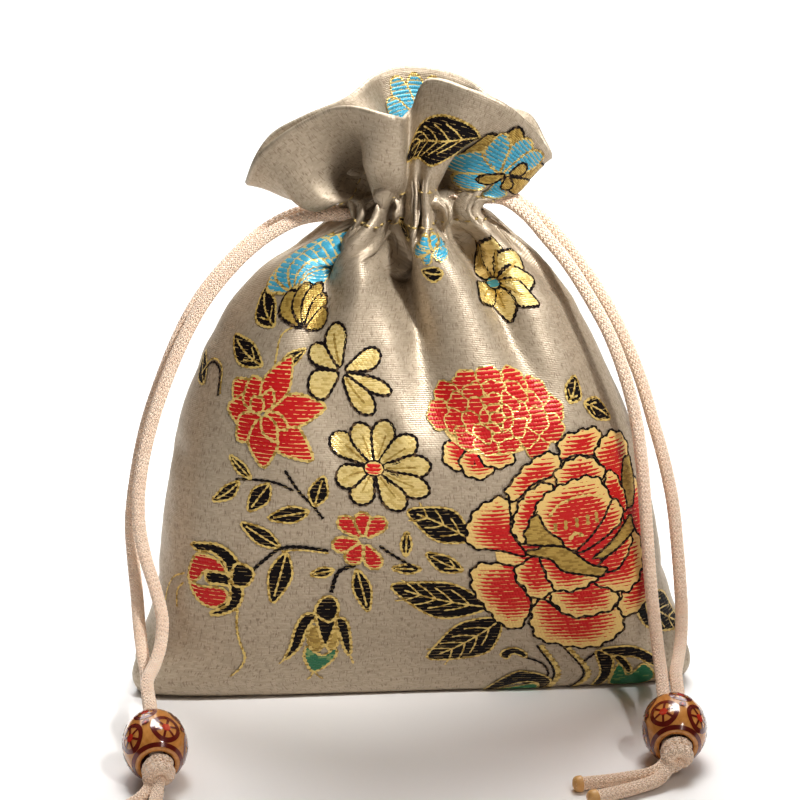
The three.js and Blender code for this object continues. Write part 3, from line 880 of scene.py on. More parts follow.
def spread4(t):
    return [
        (1 - t) ** 3 / 6, (3 * t ** 3 - 6 * t ** 2 + 4) / 6, (-3 * t ** 3 + 3 * t ** 2 + 3 * t + 1) / 6,
        t ** 3 / 6,
    ]


def surfaceOf(grid):
    rows, cols = grid.shape[0] - 1, grid.shape[1]
    mirrored = grid[1][(-np.arange(cols)) % cols]
    wide = np.concatenate([mirrored[None], grid, (2 * grid[-1] - grid[-2])[None]])

    def point(place, v):
        x = (np.asarray(place, dtype=float) % 1) * cols
        y = np.clip(np.asarray(v, dtype=float) / clothHeight, 0, 1) * rows
        i, j = np.floor(x).astype(int), np.minimum(np.floor(y).astype(int), rows - 1)
        total = 0
        for dj, wy in enumerate(spread4(y - j)):
            for di, wx in enumerate(spread4(x - i)):
                total = total + (wy * wx)[..., None] * wide[j + dj, (i + di - 1) % cols]
        return total

    def normal(place, v):
        e, h = 0.35 / cols, 0.35 * clothHeight / rows
        across = point(place + e, v) - point(place - e, v)
        up = point(place, np.asarray(v) + h) - point(place, np.maximum(np.asarray(v) - h, 0))
        n = np.cross(across, up)
        return n / (np.linalg.norm(n, axis=-1, keepdims=True) + 1e-12)
    return point, normal


creases = [  # depth and width at start and end, then points in mm from the front middle and the bottom fold
    (12.5, 2.8, 2.9, 6.8, [(-8.3, 109.5), (-4.6, 105), (-1.6, 100), (3.6, 92), (5.2, 86), (6.4, 76)]),
    (-3.2, -0.6, 4.0, 4.5, [(-21.8, 110), (-14.6, 101), (-13.7, 94), (-14.2, 84)]),
    (8.0, 0.6, 4.0, 4.5, [(-36, 109.4), (-27, 104), (-23.4, 99.5), (-23.6, 86)]),
    (-3.0, -0.8, 5.5, 6.0, [(11.8, 109.4), (14.5, 103), (16.5, 98), (18.5, 84)]),
    (8.5, 1.0, 3.4, 4.2, [(30, 109), (26.6, 104.4), (26.4, 98.8), (28.6, 88.9), (30.4, 79)]),
    (1.6, 0.4, 4.5, 4.5, [(47, 107), (49, 95), (51, 84)]),
    (2.6, 0.4, 4.5, 4.5, [(64, 109), (65, 98), (66, 84)]),
    (4.0, 0.6, 4.5, 4.5, [(84, 110), (82, 99), (80, 84)]),
    (5.0, 0.8, 4.5, 5.0, [(104, 110), (103, 99), (101, 82)]),
    (4.2, 0.6, 4.5, 5.0, [(124, 110), (123, 98), (122, 84)]),
    (5.0, 0.8, 4.5, 5.0, [(144, 110), (147, 98), (150, 82)]),
    (3.4, 0.5, 4.5, 4.5, [(163, 110), (165, 98), (167, 86)]),
]
scoops = [  # depth, middle, half width, level, half height
    (7.8, -32.0, 9.5, 122.5, 8.0), (-2.4, -47.0, 5.0, 124.0, 8.0), (-1.6, -15.0, 6.0, 127.0, 10.0),
    (5.5, 25.5, 5.0, 120.5, 5.0), (4.0, 82.0, 6.0, 123.0, 8.0), (5.0, 118.0, 7.0, 123.0, 8.0),
    (4.0, 155.0, 6.0, 123.0, 8.0),
]
puckerSet = {"many": 33, "height": 0.85, "from": -2.6, "to": 6.0, "crumple": 0.28, "crumpleBand": 11}


def creaseDepth(x, v):
    # How far the cloth is pushed in or out at each flat place
    total = np.zeros_like(x)
    for first, last, wide, narrow, line in creases:
        line = np.array(line, dtype=float)
        best, share = np.full(x.shape, 1e9), np.zeros_like(x)
        for k in range(len(line) - 1):
            (ax, av), (bx, bv) = line[k], line[k + 1]
            t = ((x - ax) * (bx - ax) + (v - av) * (bv - av)) / ((bx - ax) ** 2 + (bv - av) ** 2)
            t = np.clip(t, 0, 1)
            far = np.hypot(x - ax - t * (bx - ax), v - av - t * (bv - av))
            near = far < best
            best = np.where(near, far, best)
            share = np.where(near, (k + t) / (len(line) - 1), share)
        depth, reach = first + (last - first) * share, wide + (narrow - wide) * share
        total -= depth * bump(best, 0, reach)
    total *= 1 - ease(v, 105.5, 112)  # the puckers take over at the channel
    for depth, middle, wide, level, tall in scoops:
        total -= depth * np.exp(-((x - middle) / wide) ** 4) * bump(v, level, tall) * ease(v, 114.5, 120.5)
    wander = 1.1 * np.sin(x * 0.21) + 0.8 * np.sin(x * 0.47 + 1)
    lumps = np.cos(puckerSet["many"] * 2 * math.pi * x / girth + wander)
    level = v - clothSet["channelAt"]
    band = ease(level, puckerSet["from"] - 3, puckerSet["from"] + 1)
    band = band * (1 - ease(level, puckerSet["to"] - 2, puckerSet["to"] + 3))
    total += puckerSet["height"] * lumps * band
    crumple = np.sin(1.7 * v + 2.2 * np.sin(0.5 * x)) * np.sin(0.9 * x + 0.8 * np.sin(0.7 * v))
    total += puckerSet["crumple"] * bump(level, 0, puckerSet["crumpleBand"]) * crumple
    return total


fineRows, fineCols = clothSet["rows"] * 2, clothSet["columns"] * 2
placeGrid, vGrid = np.meshgrid(np.arange(fineCols) / fineCols, np.linspace(0, clothHeight, fineRows + 1))
roughPoint, roughNormal = surfaceOf(clothGrid)
xGrid = (placeGrid - 0.25) * girth
pushGrid = creaseDepth(xGrid, vGrid)[..., None]
fineGrid = roughPoint(placeGrid, vGrid) + roughNormal(placeGrid, vGrid) * pushGrid
clothPoint, clothNormal = surfaceOf(fineGrid)

# Outer and inner face of the cloth, joined along the rim
outerGrid = clothPoint(placeGrid, vGrid)
normalGrid = clothNormal(placeGrid, vGrid)
turnedIn = ease(vGrid, clothSet["channelAt"] - 6, clothSet["channelAt"] + 2)
wall = clothSet["thickness"] + clothSet["turned"] * turnedIn
innerGrid = outerGrid - normalGrid * wall[..., None]
innerGrid[0] = innerGrid[0][[min(i, fineCols - i) for i in range(fineCols)]]
outerGrid[:, :, 2] = np.maximum(outerGrid[:, :, 2], clothSet["clear"])
innerGrid[:, :, 2] = np.maximum(innerGrid[:, :, 2], clothSet["clear"] + clothSet["thickness"])
outerPoints, innerPoints = zipped(outerGrid), zipped(innerGrid)
faces = zippedFaces(fineRows, fineCols)
count = len(outerPoints)
allFaces = faces + [tuple(count + corner for corner in reversed(face)) for face in faces]
rimStart, extra = count - fineCols, 2 * count
rimUp = outerGrid[-1] - outerGrid[-2]
rimUp = rimUp / np.linalg.norm(rimUp, axis=1, keepdims=True)
rimMiddle = (outerGrid[-1] + innerGrid[-1]) / 2 + rimUp * wall[-1, :, None] * 0.45
for i in range(fineCols):
    k = (i + 1) % fineCols
    allFaces.append((rimStart + i, rimStart + k, extra + k, extra + i))
    allFaces.append((extra + i, extra + k, count + rimStart + k, count + rimStart + i))
uvScale = 1 / uvUnit
uvRim = np.stack([placeGrid[-1] * girth * uvScale, vGrid[-1] * uvScale], 1)
uvOuter = zipped(np.stack([placeGrid * girth * uvScale, vGrid * uvScale], 2))
uvInner = zipped(np.stack([placeGrid * girth * uvScale, (2 * clothHeight - vGrid) * uvScale], 2))
clothPoints = np.vstack([outerPoints, innerPoints, rimMiddle])
clothUvs = np.vstack([uvOuter, uvInner, uvRim])
pouchCloth = meshObject("pouchCloth", clothPoints * mm, allFaces, [satin], uvs=clothUvs)
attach(pouchCloth, "pouch")
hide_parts("pouch_cloth")

# Woven flowers, drawn flat in mm: x from the front middle, height from the bottom fold
flowerSet = {
    "lift": 0.12, "step": 0.012, "rimStep": 0.006, "apart": 0.4, "line": 0.62, "lineStep": 0.62,
    "ring": 1.1, "ringStep": 0.85, "ragged": (0.62, 1.25), "scallop": 3.2, "raise": 2.2, "raiseFrom": 40,
    "raiseTo": 80,
}
inkNames = ["maroon", "ruby"]  # for the beads, which are drawn with the same shapes
threadNames = list(threads) + inkNames
patchKeys = ("flat", "lift", "tip", "faces", "slots", "boxes")
patch = {key: [] for key in patchKeys}
petalShapes = {
    "round": [(0, 0.2), (0.3, 0.66), (0.6, 1), (0.86, 0.78)],
    "point": [(0, 0.34), (0.25, 0.86), (0.5, 1), (0.8, 0.55)],
    "leaf": [(0, 0.05), (0.2, 0.66), (0.45, 1), (0.75, 0.64)],
}


def around(x, y, wide, tall, many):
    return [(x + wide * math.cos(q), y + tall * math.sin(q)) for q in 2 * math.pi * np.arange(many) / many]


def moved(x, y, points):
    return [(x + a, y + b) for a, b in points]


def evenLine(points, step, closed=False):
    # Smooth line through the points, read at an even step
    knots = np.asarray(points, dtype=float)
    if closed:
        knots = np.vstack([knots[-1], knots, knots[0], knots[1]])
    else:
        knots = np.vstack([2 * knots[0] - knots[1], knots, 2 * knots[-1] - knots[-2]])
    t = np.linspace(0, 1, 9)[:-1, None]
    parts = []
    for a, b, c, d in zip(knots[:-3], knots[1:-2], knots[2:-1], knots[3:]):
        parts.append(b + 0.5 * t * (c - a + t * (2 * a - 5 * b + 4 * c - d + t * (3 * (b - c) + d - a))))
    line = np.vstack(parts + [knots[-2:-1]])
    along = np.concatenate([[0], np.cumsum(np.hypot(*np.diff(line, axis=0).T))])
    even = np.linspace(0, along[-1], max(4, int(along[-1] / step)) + 1)
    even = np.stack([np.interp(even, along, line[:, k]) for k in range(2)], 1)
    return even[:-1] if closed else even


def addPatch(flat, tip, faces, slot, lift):
    start = len(patch["lift"])
    patch["flat"].extend(flat)
    patch["lift"].extend([lift] * len(flat))
    patch["tip"].extend(tip)
    patch["faces"].extend(tuple(start + corner for corner in face) for face in faces)
    patch["slots"].extend([threadNames.index(slot)] * len(faces))


def nextLift(flat):
    # One thread's height above the shapes it crosses, so that the weave stays thin
    low, high, layer = flat.min(0) - flowerSet["apart"], flat.max(0) + flowerSet["apart"], 1
    for otherLow, otherHigh, otherLayer in patch["boxes"]:
        if (low < otherHigh).all() and (otherLow < high).all():
            layer = max(layer, otherLayer + 1)
    patch["boxes"].append((low, high, layer))
    return flowerSet["lift"] + flowerSet["step"] * layer


def stroke(slot, points, width=None, closed=False, lift=None, ragged=True):
    # A woven line, its edge ragged where the weft turns back
    line = evenLine(points, flowerSet["lineStep"], closed)
    n = len(line)
    ahead = np.roll(line, -1, 0) - np.roll(line, 1, 0)
    if not closed:
        ahead[0], ahead[-1] = line[1] - line[0], line[-1] - line[-2]
    side = np.stack([-ahead[:, 1], ahead[:, 0]], 1) / (np.hypot(*ahead.T)[:, None] + 1e-9)
    thin, thick = flowerSet["ragged"]
    half = np.where(np.arange(n) % 2, thick, thin) if ragged else np.ones(n)
    half = half * (width or flowerSet["line"]) / 2
    flat = np.concatenate([line - side * half[:, None], line + side * half[:, None]])
    last = n if closed else n - 1
    faces = [(i, (i + 1) % n, n + (i + 1) % n, n + i) for i in range(last)]
    addPatch(flat, np.zeros(2 * n), faces, slot, lift or nextLift(flat))


def blob(slot, loop, root=None, edge="goldLine", width=None, frill=0):
    # A filled shape round its middle; tip runs from 0 at the root to 1 at the farthest edge
    ring = evenLine(loop, flowerSet["ringStep"], True)
    turn = np.roll(ring, -1, 0)
    if (ring[:, 0] * turn[:, 1] - turn[:, 0] * ring[:, 1]).sum() < 0:
        ring = ring[::-1]
    n, middle = len(ring), ring.mean(0)
    root = middle if root is None else np.array(root)
    if frill:  # small scallops where the petal ends
        out = ring - middle
        away = np.hypot(*(ring - root).T)
        lobes = max(3, round(n * flowerSet["ringStep"] / flowerSet["scallop"]))
        ripple = frill * (np.abs(np.sin(np.arange(n) / n * math.pi * lobes)) - 0.6)
        ripple = ripple * ease(away / away.max(), 0.45, 0.75)
        ring = ring + out / np.hypot(*out.T)[:, None] * ripple[:, None]
    rings = max(2, int(math.ceil(np.hypot(*(ring - middle).T).max() / flowerSet["ring"])))
    flat = np.vstack([middle] + [middle + (ring - middle) * k / rings for k in range(1, rings + 1)])
    far = np.hypot(*(flat - root).T)
    ringShare = np.concatenate([[0], np.repeat(np.arange(1, rings + 1) / rings, n)])
    tip = ringShare * ease(far / far.max(), 0.2, 0.75)
    faces = [(0, 1 + i, 1 + (i + 1) % n) for i in range(n)]
    for k in range(rings - 1):
        a, b = 1 + k * n, 1 + (k + 1) * n
        faces += [(a + i, b + i, b + (i + 1) % n, a + (i + 1) % n) for i in range(n)]
    lift = nextLift(flat)
    addPatch(flat, tip, faces, slot, lift)
    if edge:
        stroke(edge, ring, width, True, lift + flowerSet["rimStep"])


def petalFrame(base, tip):
    base, tip = np.array(base, dtype=float), np.array(tip, dtype=float)
    axis = tip - base
    return base, tip, axis, np.array([-axis[1], axis[0]]) / np.hypot(*axis)


def petal(base, tip, width, kind="round", bend=0):
    base, tip, axis, side = petalFrame(base, tip)
    edges = [[base + axis * share + side * (bend * math.sin(math.pi * share) + way * width / 2 * wide)
              for share, wide in petalShapes[kind]] for way in (-1, 1)]
    return edges[0] + [tip] + edges[1][::-1]


def flower(slot, middle, petals, edge, kind="round", start=0.12):
    for tip, width in petals:
        base = np.array(middle) + (np.array(tip) - np.array(middle)) * start
        blob(slot, petal(base, tip, width, kind), middle, edge)


leafSet = {
    "edge": 0.5, "spine": 0.42, "spineAt": (0.02, 0.3, 0.6, 0.86), "vein": 0.36, "veinsAt": (0.2, 0.7),
    "veinTurns": ((0, 0), (0.1, 0.17), (0.22, 0.3)),
}


def leaf(base, tip, width, bend=0, veins=0):
    blob("black", petal(base, tip, width, "leaf", bend), base, "goldLine", leafSet["edge"])
    base, tip, axis, side = petalFrame(base, tip)

    def onSpine(share):
        return base + axis * share + side * bend * math.sin(math.pi * share)
    stroke("goldLine", [onSpine(share) for share in leafSet["spineAt"]], leafSet["spine"])
    first, last = leafSet["veinsAt"]
    for i in range(veins):
        root = onSpine(first + (last - first) * i / max(veins - 1, 1))
        for way in (-1, 1):
            turns = [root + axis * on + side * way * width * out for on, out in leafSet["veinTurns"]]
            stroke("goldLine", turns, leafSet["vein"])


def peony(x, y):
    rows = [  # thread, where the colour starts, edge points, all from the middle of the flower
        ("red", (8, 3), [(12, 11), (17, 11.5), (19, 6), (18, -1), (17, -8), (14, -13), (11, -10), (11, 4)]),
        ("red", (-11, 0), [
            (-22.3, 4), (-20.3, 8), (-18.3, 9.7), (-14.3, 11.3), (-13, 8.7), (-13.3, 2.7), (-11, -2.7),
            (-15.7, -1.3), (-21.7, 0),
        ]),
        ("red", (-10, -9), [
            (-22.3, -6.7), (-21, -4.3), (-17.7, -4), (-13, -5.3), (-13.7, -8), (-11, -13.3), (-13, -19.7),
            (-16.7, -18.7), (-19.7, -14.7), (-22, -10.7),
        ]),
        ("red", (-2, -11), [
            (-11, -16), (-9, -12.7), (-4.3, -16.7), (0.3, -17.7), (5.7, -16), (7.7, -18.7), (7, -22),
            (4.3, -24), (1.7, -25.3), (-2.3, -25.3), (-5.7, -24.3), (-9, -23), (-10.7, -20),
        ]),
        ("red", (9, -5), [
            (7, -13.3), (9, -10.7), (12.3, -6.7), (15.7, -9.3), (15, -13.3), (11.7, -17.3), (8.3, -18.7),
            (6.3, -16.7),
        ]),
        ("red", (0, -5), [
            (-7.7, -11.3), (-6.3, -10.7), (1, -10), (6.3, -8.7), (6.3, -13.3), (5.3, -16.3), (1.7, -17.3),
            (-1.7, -17.7), (-4.3, -16.7), (-6.7, -14),
        ]),
        ("red", (3, -4), [
            (1, -9.3), (6.3, -5.3), (11, 0.7), (13.7, -0.7), (14.3, -5.3), (12.3, -9.3), (9, -12.7),
            (6.3, -12.7),
        ]),
        ("red", (3, -4), [
            (2.3, -7.3), (7, -3.3), (11.7, 0.7), (12.3, 2.7), (11.7, -2.7), (9, -6), (6.3, -8),
        ]),
        ("red", (-6, -4), [(-13.7, -6), (-9, -2.7), (-8, -6), (-6.3, -10.7), (-10.3, -12.7), (-12.3, -10)]),
        ("red", (-4, -1), [
            (-8.3, -2.7), (-4.3, -4), (0.3, -7.3), (2.3, -9.3), (-2.3, -11.3), (-6.3, -10.7), (-7.7, -6.7),
        ]),
        ("gold", None, [
            (-11, -2.3), (-7.7, -1), (-3.7, -1.3), (-1, -3.3), (1.7, -6), (5, -7.3), (3, -8.7), (-0.3, -8),
            (-4.3, -6.7), (-6.3, -4),
        ]),
        ("gold", None, [(2.3, -4.7), (6.3, -2), (10.3, 1.3), (12.7, 3), (13, 0), (9, -2.7), (5, -4.7)]),
        ("red", (-4, 9), [
            (-13.7, 12), (-12.3, 14), (-9, 17.3), (-4.3, 19.7), (-1.7, 19.3), (-1, 16.7), (-3, 14.7),
            (-7.7, 13.3), (-11.7, 10),
        ]),
        ("red", (4, 13), [
            (-1.3, 20.7), (0.3, 23), (3.7, 23.7), (7.7, 24), (9.7, 22.7), (8.3, 20), (7, 18), (2.3, 18.7),
            (-0.7, 18),
        ]),
        ("red", (9, 10), [
            (7, 18), (9, 20.7), (12.3, 22.3), (15.7, 21.3), (17.3, 18.7), (16.7, 14), (14.3, 12),
            (12.3, 10.7), (9.7, 13.3),
        ]),
        ("gold", None, [(14.3, 14.7), (17, 16), (16.3, 9.3), (14.3, 5.3), (12.7, 4.7), (12.3, 8.7)]),
        ("red", (3, 7), [
            (-3, 14.7), (-1, 16.7), (2.3, 18.3), (5.7, 17.7), (8.3, 15.3), (9, 13.3), (6.3, 12),
            (2.3, 12.7), (-1.7, 12),
        ]),
        ("red", (-3, 4), [
            (-13.3, 2.7), (-12.3, 6.7), (-9.7, 11.3), (-5.7, 13.3), (-3.7, 12.7), (-4.3, 10), (-7, 8),
            (-8.3, 6), (-10.3, 2.7), (-11, 0),
        ]),
        ("red", (8, 6), [
            (9, 13.3), (11, 13.7), (12.3, 10.7), (12.7, 6.7), (11.7, 4), (9, 7.3), (8.3, 10.7),
        ]),
        ("red", (1, 3), [
            (-7.7, 8), (-6.3, 10), (-3, 12), (0.3, 13), (3.7, 13.7), (7, 12.7), (8.3, 10), (9, 7.3),
            (6.3, 2.7), (2.3, -0.7), (-1, -2.7), (-5, 0.7), (-8.3, 6.7),
        ]),
        ("gold", None, [(-11, 2), (-8, 6.7), (-6.3, 2.7), (-3, -0.7), (-7, -0.7), (-10.3, 0)]),
        ("red", (0, 1), [
            (9, 7.3), (11, 6), (10.3, 2.7), (6.3, 0), (1, -2.7), (-1, -2.7), (2.3, 0), (6.3, 4),
        ]),
    ]
    blob("red", around(x, y - 1, 17, 20, 14), None, None)
    for slot, root, points in rows:
        blob(slot, moved(x, y, points), root and (x + root[0], y + root[1]), "blackLine", 0.52, 0.8)
    for a in (-4.6, -2.4, 0, 2.4, 4.4):
        stroke("gold", moved(x, y, [(a, 2.6 + 0.1 * a), (a + 0.3, 4.8 + 0.15 * a)]), 0.75)
    stroke("goldLine", moved(x, y, [(-5.4, 5.6), (-3, 8), (0.4, 9.2), (4, 9.4), (7, 8.4)]), 0.6)
    stroke("goldLine", moved(x, y, [(-2, 0), (-0.6, 1.4), (1, 0.6)]), 0.8)


def carnation(x, y):
    # Overlapping frilled petals in rings, the lower left ones paler and edged in black
    for px, py, width in ((-12, -8, 7), (-7.4, -11, 7.4), (-1.6, -9.6, 7.6)):
        loop = petal((x + px * 0.3, y + py * 0.3), (x + px, y + py), width)
        blob("red", loop, (x + px * 0.5, y + py * 0.45), "blackLine", 0.5, 0.6)
    blob("red", around(x, y + 1, 12, 8, 12), None, None)
    rings = (
        (15.2, 10.4, 13, 6.2, 0.1), (11.2, 7.6, 11, 5.6, 0.35), (7.2, 5, 8, 5, 0.1),
        (3.6, 2.9, 5, 3.9, 0.5),
    )
    for reach, tall, many, width, turned in rings:
        for i in range(many):
            q = turned + 2 * math.pi * i / many
            outer = reach == rings[0][0]
            if outer and 3.3 < q % (2 * math.pi) < 5.0:  # the pale petals show here
                continue
            tip = (x + reach * math.cos(q), y + 1 + tall * math.sin(q))
            base = (x + reach * 0.45 * math.cos(q), y + 1 + tall * 0.45 * math.sin(q))
            blob("crimson", petal(base, tip, width), base, "goldLine", 0.34, 0.5)
    blob("crimson", around(x, y + 1, 1.6, 1.3, 8), None, "goldLine", 0.4)


budSet = {  # thread, where its colour starts, edge points; then gold lines with their width
    "rosebud": {
        "shapes": [
            ("crimson", (3, 2), [
                (-3.5, 2), (-2, 5.5), (1.5, 5.5), (4.5, 3.5), (3.5, 1.5), (0.5, 2.5), (-1, 0.5), (-3, -0.5),
            ]),
            ("crimson", (3, -2), [
                (-3, -0.5), (-0.5, -1), (3, -0.8), (5, -1.5), (4.8, -4), (2, -5.2), (-1, -3.8),
            ]),
            ("black", None, [
                (-3.5, 7.5), (-0.5, 8.2), (3, 8.3), (6, 6.5), (7.5, 3.5), (5, 2.5), (4.3, 4.5), (1.5, 6.5),
                (-1.5, 6.3),
            ]),
            ("black", None, [(0.5, 2), (3.5, 2.5), (6, 1.5), (6.5, -0.2), (3.5, 0), (1.2, 0)]),
            ("black", None, [
                (5.5, 1), (7.5, 0.5), (8.2, -2), (7, -5), (3.5, -6.7), (1.5, -6.5), (5, -4.5), (5.8, -2),
            ]),
            ("black", None, [(6.5, 4.5), (9.5, 4), (10.2, 2), (8.5, -0.2), (6, 0.5)]),
        ],
        "lines": [
            (0.42, [(-4.5, 1), (-7.5, -0.5), (-9, -3), (-9.3, -6)]),
            (0.42, [(-4.5, -1), (-6, -3), (-5.8, -6.5)]),
            (0.5, [(7.2, -5), (7, -9.5), (7.7, -13), (9, -16.5), (8.7, -19.5), (7.5, -21.8)]),
        ],
    },
    "bellBud": {
        "shapes": [
            ("gold", None, [(-3, 3), (-1.2, 2), (-0.3, -2), (-1.8, -3.5), (-3.3, -1)]),
            ("gold", None, [(1.5, 1.8), (2.5, 1), (2.2, -2.5), (0.7, -3), (0.2, -1.5)]),
            ("green", None, [
                (-3.5, -2), (-1.8, -3.7), (0, -4.7), (2, -2.7), (2.3, -5), (0.7, -8), (-1.3, -9.4),
                (-2.8, -7.2), (-3.8, -4.5),
            ]),
            ("black", None, [
                (-1.5, 5.8), (-4, 5.8), (-5.8, 2.5), (-6.7, -2), (-7.5, -5.8), (-5, -2.5), (-3.8, 1.5),
                (-2.7, 3.8),
            ]),
            ("black", None, [(2, 5), (4, 4.3), (4.8, 0), (5, -5), (3.7, -3), (2.8, 0.5), (2.2, 3)]),
            ("black", None, [(-1.5, 5.5), (2, 5.5), (1.2, 1), (0, -2), (-1.2, 1.5)]),
            ("black", None, [(0, 10), (2, 9.5), (2.5, 6.5), (1, 4), (-1, 5), (-2, 6.5), (-1.3, 8.5)]),
        ],
        "lines": [
            (0.42, [(-1.3, -9.4), (-1.6, -10.8), (-2.3, -12)]),
            (0.42, [(-1, -9.5), (-0.2, -11), (0.7, -12)]), (0.42, [(-7.4, -5.6), (-8.2, -6.6)]),
            (0.42, [(5, -5), (5.9, -7.5)]),
        ],
    },
}


def bud(kind, x, y):
    for slot, root, points in budSet[kind]["shapes"]:
        blob(slot, moved(x, y, points), root and (x + root[0], y + root[1]))
    for width, points in budSet[kind]["lines"]:
        stroke("goldLine", moved(x, y, points), width)


def pattern(dx, whole):
    # One repeat of the woven design, moved aside by dx: stems and leaves first, flowers over them
    def at(points):
        return moved(dx, 0, points)

    def spotAt(x, y):
        return dx + x, y

    def tips(points, width):
        return [(spotAt(*point), width) for point in points]

    def twig(slot, points, width=0.55):
        stroke(slot, at(points), width)

    def leafAt(base, tip, width, bend=0, veins=0):
        leaf(spotAt(*base), spotAt(*tip), width, bend, veins)
    twig("black", [(-36, 60), (-31, 60.3), (-27, 60), (-23.5, 58.5)])
    twig("black", [(-25.5, 63), (-22.5, 58.5), (-20, 55.8), (-17.5, 52.5)], 0.6)
    for one in (
        ((-32.5, 60.4), (-38, 65), 2.3), ((-35, 59.6), (-40.7, 54.7), 3, 0.5),
        ((-28.5, 59.8), (-32.7, 53.2), 4.2), ((-20.2, 54), (-28.7, 52), 3.7),
        ((-19.2, 55.2), (-17.6, 62), 4), ((-26, 45.6), (-34.2, 50.6), 3.6),
        ((-24.8, 44.8), (-27.6, 33.4), 4.6), ((-15.5, 41), (-20.4, 39.8), 2.2),
        ((-11.2, 41.4), (-9.3, 31.2), 3.5), ((-1.6, 44), (-1, 50), 2.2), ((1.4, 41), (-4.6, 41.4), 2.2),
    ):
        leafAt(*one)
    twig("black", [(-16.6, 45.3), (-22, 46), (-26, 45.5), (-29, 43), (-31.5, 40.5)], 0.7)
    twig("goldLine", [(-16.5, 44.8), (-22, 45.3), (-25.8, 44.9)], 0.42)
    twig("black", [(-11.4, 42.2), (-14.8, 40.6), (-16.3, 36)], 0.8)
    twig("black", [(-6.6, 46.6), (-4, 44.4), (0.6, 41)], 0.6)
    for one in (
        ((11.5, 47.4), (-0.6, 54.6), 8, -0.6, 3), ((9.4, 40.4), (2.4, 44.8), 3.8, 0.4, 1),
        ((14, 31.6), (-4.8, 37.4), 8.6, 0.8, 4), ((16.6, 28.8), (2.2, 18.2), 9.6, 0.8, 4),
        ((36.4, 75.6), (40.6, 80.6), 4, -0.4, 1), ((40.2, 75), (46.8, 70.8), 4.6, 0.5, 1),
        ((-33.5, 83.8), (-46.5, 88.9), 4.6, 0.4, 1), ((-34.5, 91.6), (-46.6, 98.4), 4.8, 0.4, 1),
        ((-29.5, 83.2), (-24, 87.7), 3.2, 0.2),
    ):
        leafAt(*one)
    if whole:
        leafAt((43, 31.5), (56, 20.5), 8.6, 0, 3)
        leafAt((-50, 78), (-57, 84), 4, 0.4)
    twig("goldLine", [(24, 21.5), (25.6, 17), (26.6, 12), (27.4, 4)], 1.1)
    twig("blackLine", [(23.2, 21.5), (24.8, 17), (25.8, 12), (26.6, 4)], 0.45)
    twig("goldLine", [(29, 21), (31, 16.5), (32.4, 11), (32.2, 4)], 1.1)
    twig("blackLine", [(28.2, 21), (30.2, 16.5), (31.5, 11), (31.3, 4)], 0.45)
    twig("blackLine", [(31.4, 16.6), (34.5, 19), (39, 19.6)], 0.5)
    twig("goldLine", [(-29.8, 80.6), (-30.8, 86), (-31.4, 90.4), (-28, 92.6)], 0.5)
    twig("blackLine", [(-53, 79), (-50, 82.6), (-45.5, 81.4), (-43.6, 76.6)], 0.45)
    twig("goldLine", [(-53.4, 79.6), (-50.2, 83.3), (-45.2, 82.1), (-43, 77)], 0.45)
    twig("blackLine", [(20.6, 18.1), (23.4, 16.2), (24.6, 12.8), (24.4, 10.2)], 0.5)
    low = 2.2  # these sit a little nearer the bottom fold than they were drawn
    for slot, points in (
        ("black", [
            (14, 8.4), (16.1, 13.1), (19, 15.8), (21.3, 15.4), (24, 14.2), (26.3, 11.6), (25.8, 8.6),
            (24.4, 8.6), (24.2, 10.8), (22, 12), (19.5, 11.4), (17, 9.6), (15.4, 8.2),
        ]),
        ("green", [(16.6, 8.2), (19.5, 9.8), (23.2, 11.2), (24.8, 8.6), (21, 7.2)]),
        ("black", [
            (16, 20.8), (17, 22.6), (19.3, 23), (21, 21.4), (20.6, 20), (19.3, 21.2), (17.9, 21.2),
            (17.4, 19.8),
        ]),
        ("black", [(34.4, 21.8), (34.2, 16), (35.2, 10), (37, 9.6), (36.4, 15.5), (37, 19.8)]),
        ("black", [
            (35.5, 22.2), (41.5, 22.2), (45.2, 18.8), (46.4, 15.4), (43.6, 17.2), (41.2, 19.4), (37.5, 20),
        ]),
        ("green", [
            (36.8, 15.6), (37.8, 18), (38.6, 18.2), (38.9, 15.6), (39.8, 13.8), (40.8, 15.4), (42.4, 17.4),
            (44.2, 15.4), (46, 11.6), (45.4, 9), (42, 8.8), (38.8, 10), (37.2, 12.6),
        ]),
        ("black", [(37.4, 20), (39, 19.8), (40.2, 15.6), (39.5, 14.8), (38.3, 17.2)]),
    ):
        blob(slot, moved(dx, -low, points), None, "goldLine", 0.45)
    bud("rosebud", *spotAt(-41.5, 37))
    bud("bellBud", *spotAt(-17.5, 25))
    middle = spotAt(-31, 74.6)
    ends = [
        (-40, 80.4), (-40, 75), (-35.4, 81.6), (-36.4, 68.4), (-20, 65.4), (-30, 63.2), (-17.4, 76.6),
        (-27, 86.2),
    ]
    flower("crimson", middle, tips(ends, 6.6), "goldLine", "point")
    ends = [(-25, 72), (-27.5, 69), (-29.6, 79.6), (-34, 77.6)]
    flower("crimson", middle, tips(ends, 3.4), "goldLine", "point")
    middle = spotAt(-14.6, 83.6)
    petals = (
        ((-3, 79.6), 3), ((-5.8, 87.2), 4.4), ((-21.2, 79.6), 6.2), ((-7.2, 75.2), 4.6), ((-23, 88.2), 4),
        ((-18.6, 93), 4.8),
    )
    flower("paleGold", middle, [(spotAt(*tip), width) for tip, width in petals], "blackLine")
    stroke("gold", at([(-13.4, 82.4), (-11, 79.4), (-9, 77.4)]), 0.5)
    stroke("gold", at([(-15.4, 85.4), (-17, 88.6), (-18, 91)]), 0.5)
    middle = spotAt(-7.3, 63.6)
    ends = [
        (-16.4, 70.6), (-10.8, 73.2), (-4.4, 74), (1.6, 70.6), (4.6, 64.8), (4, 58.6), (-1.4, 54.8),
        (-10.6, 56), (-15, 61),
    ]
    flower("paleGold", middle, tips(ends, 5), "blackLine", "round", 0.16)
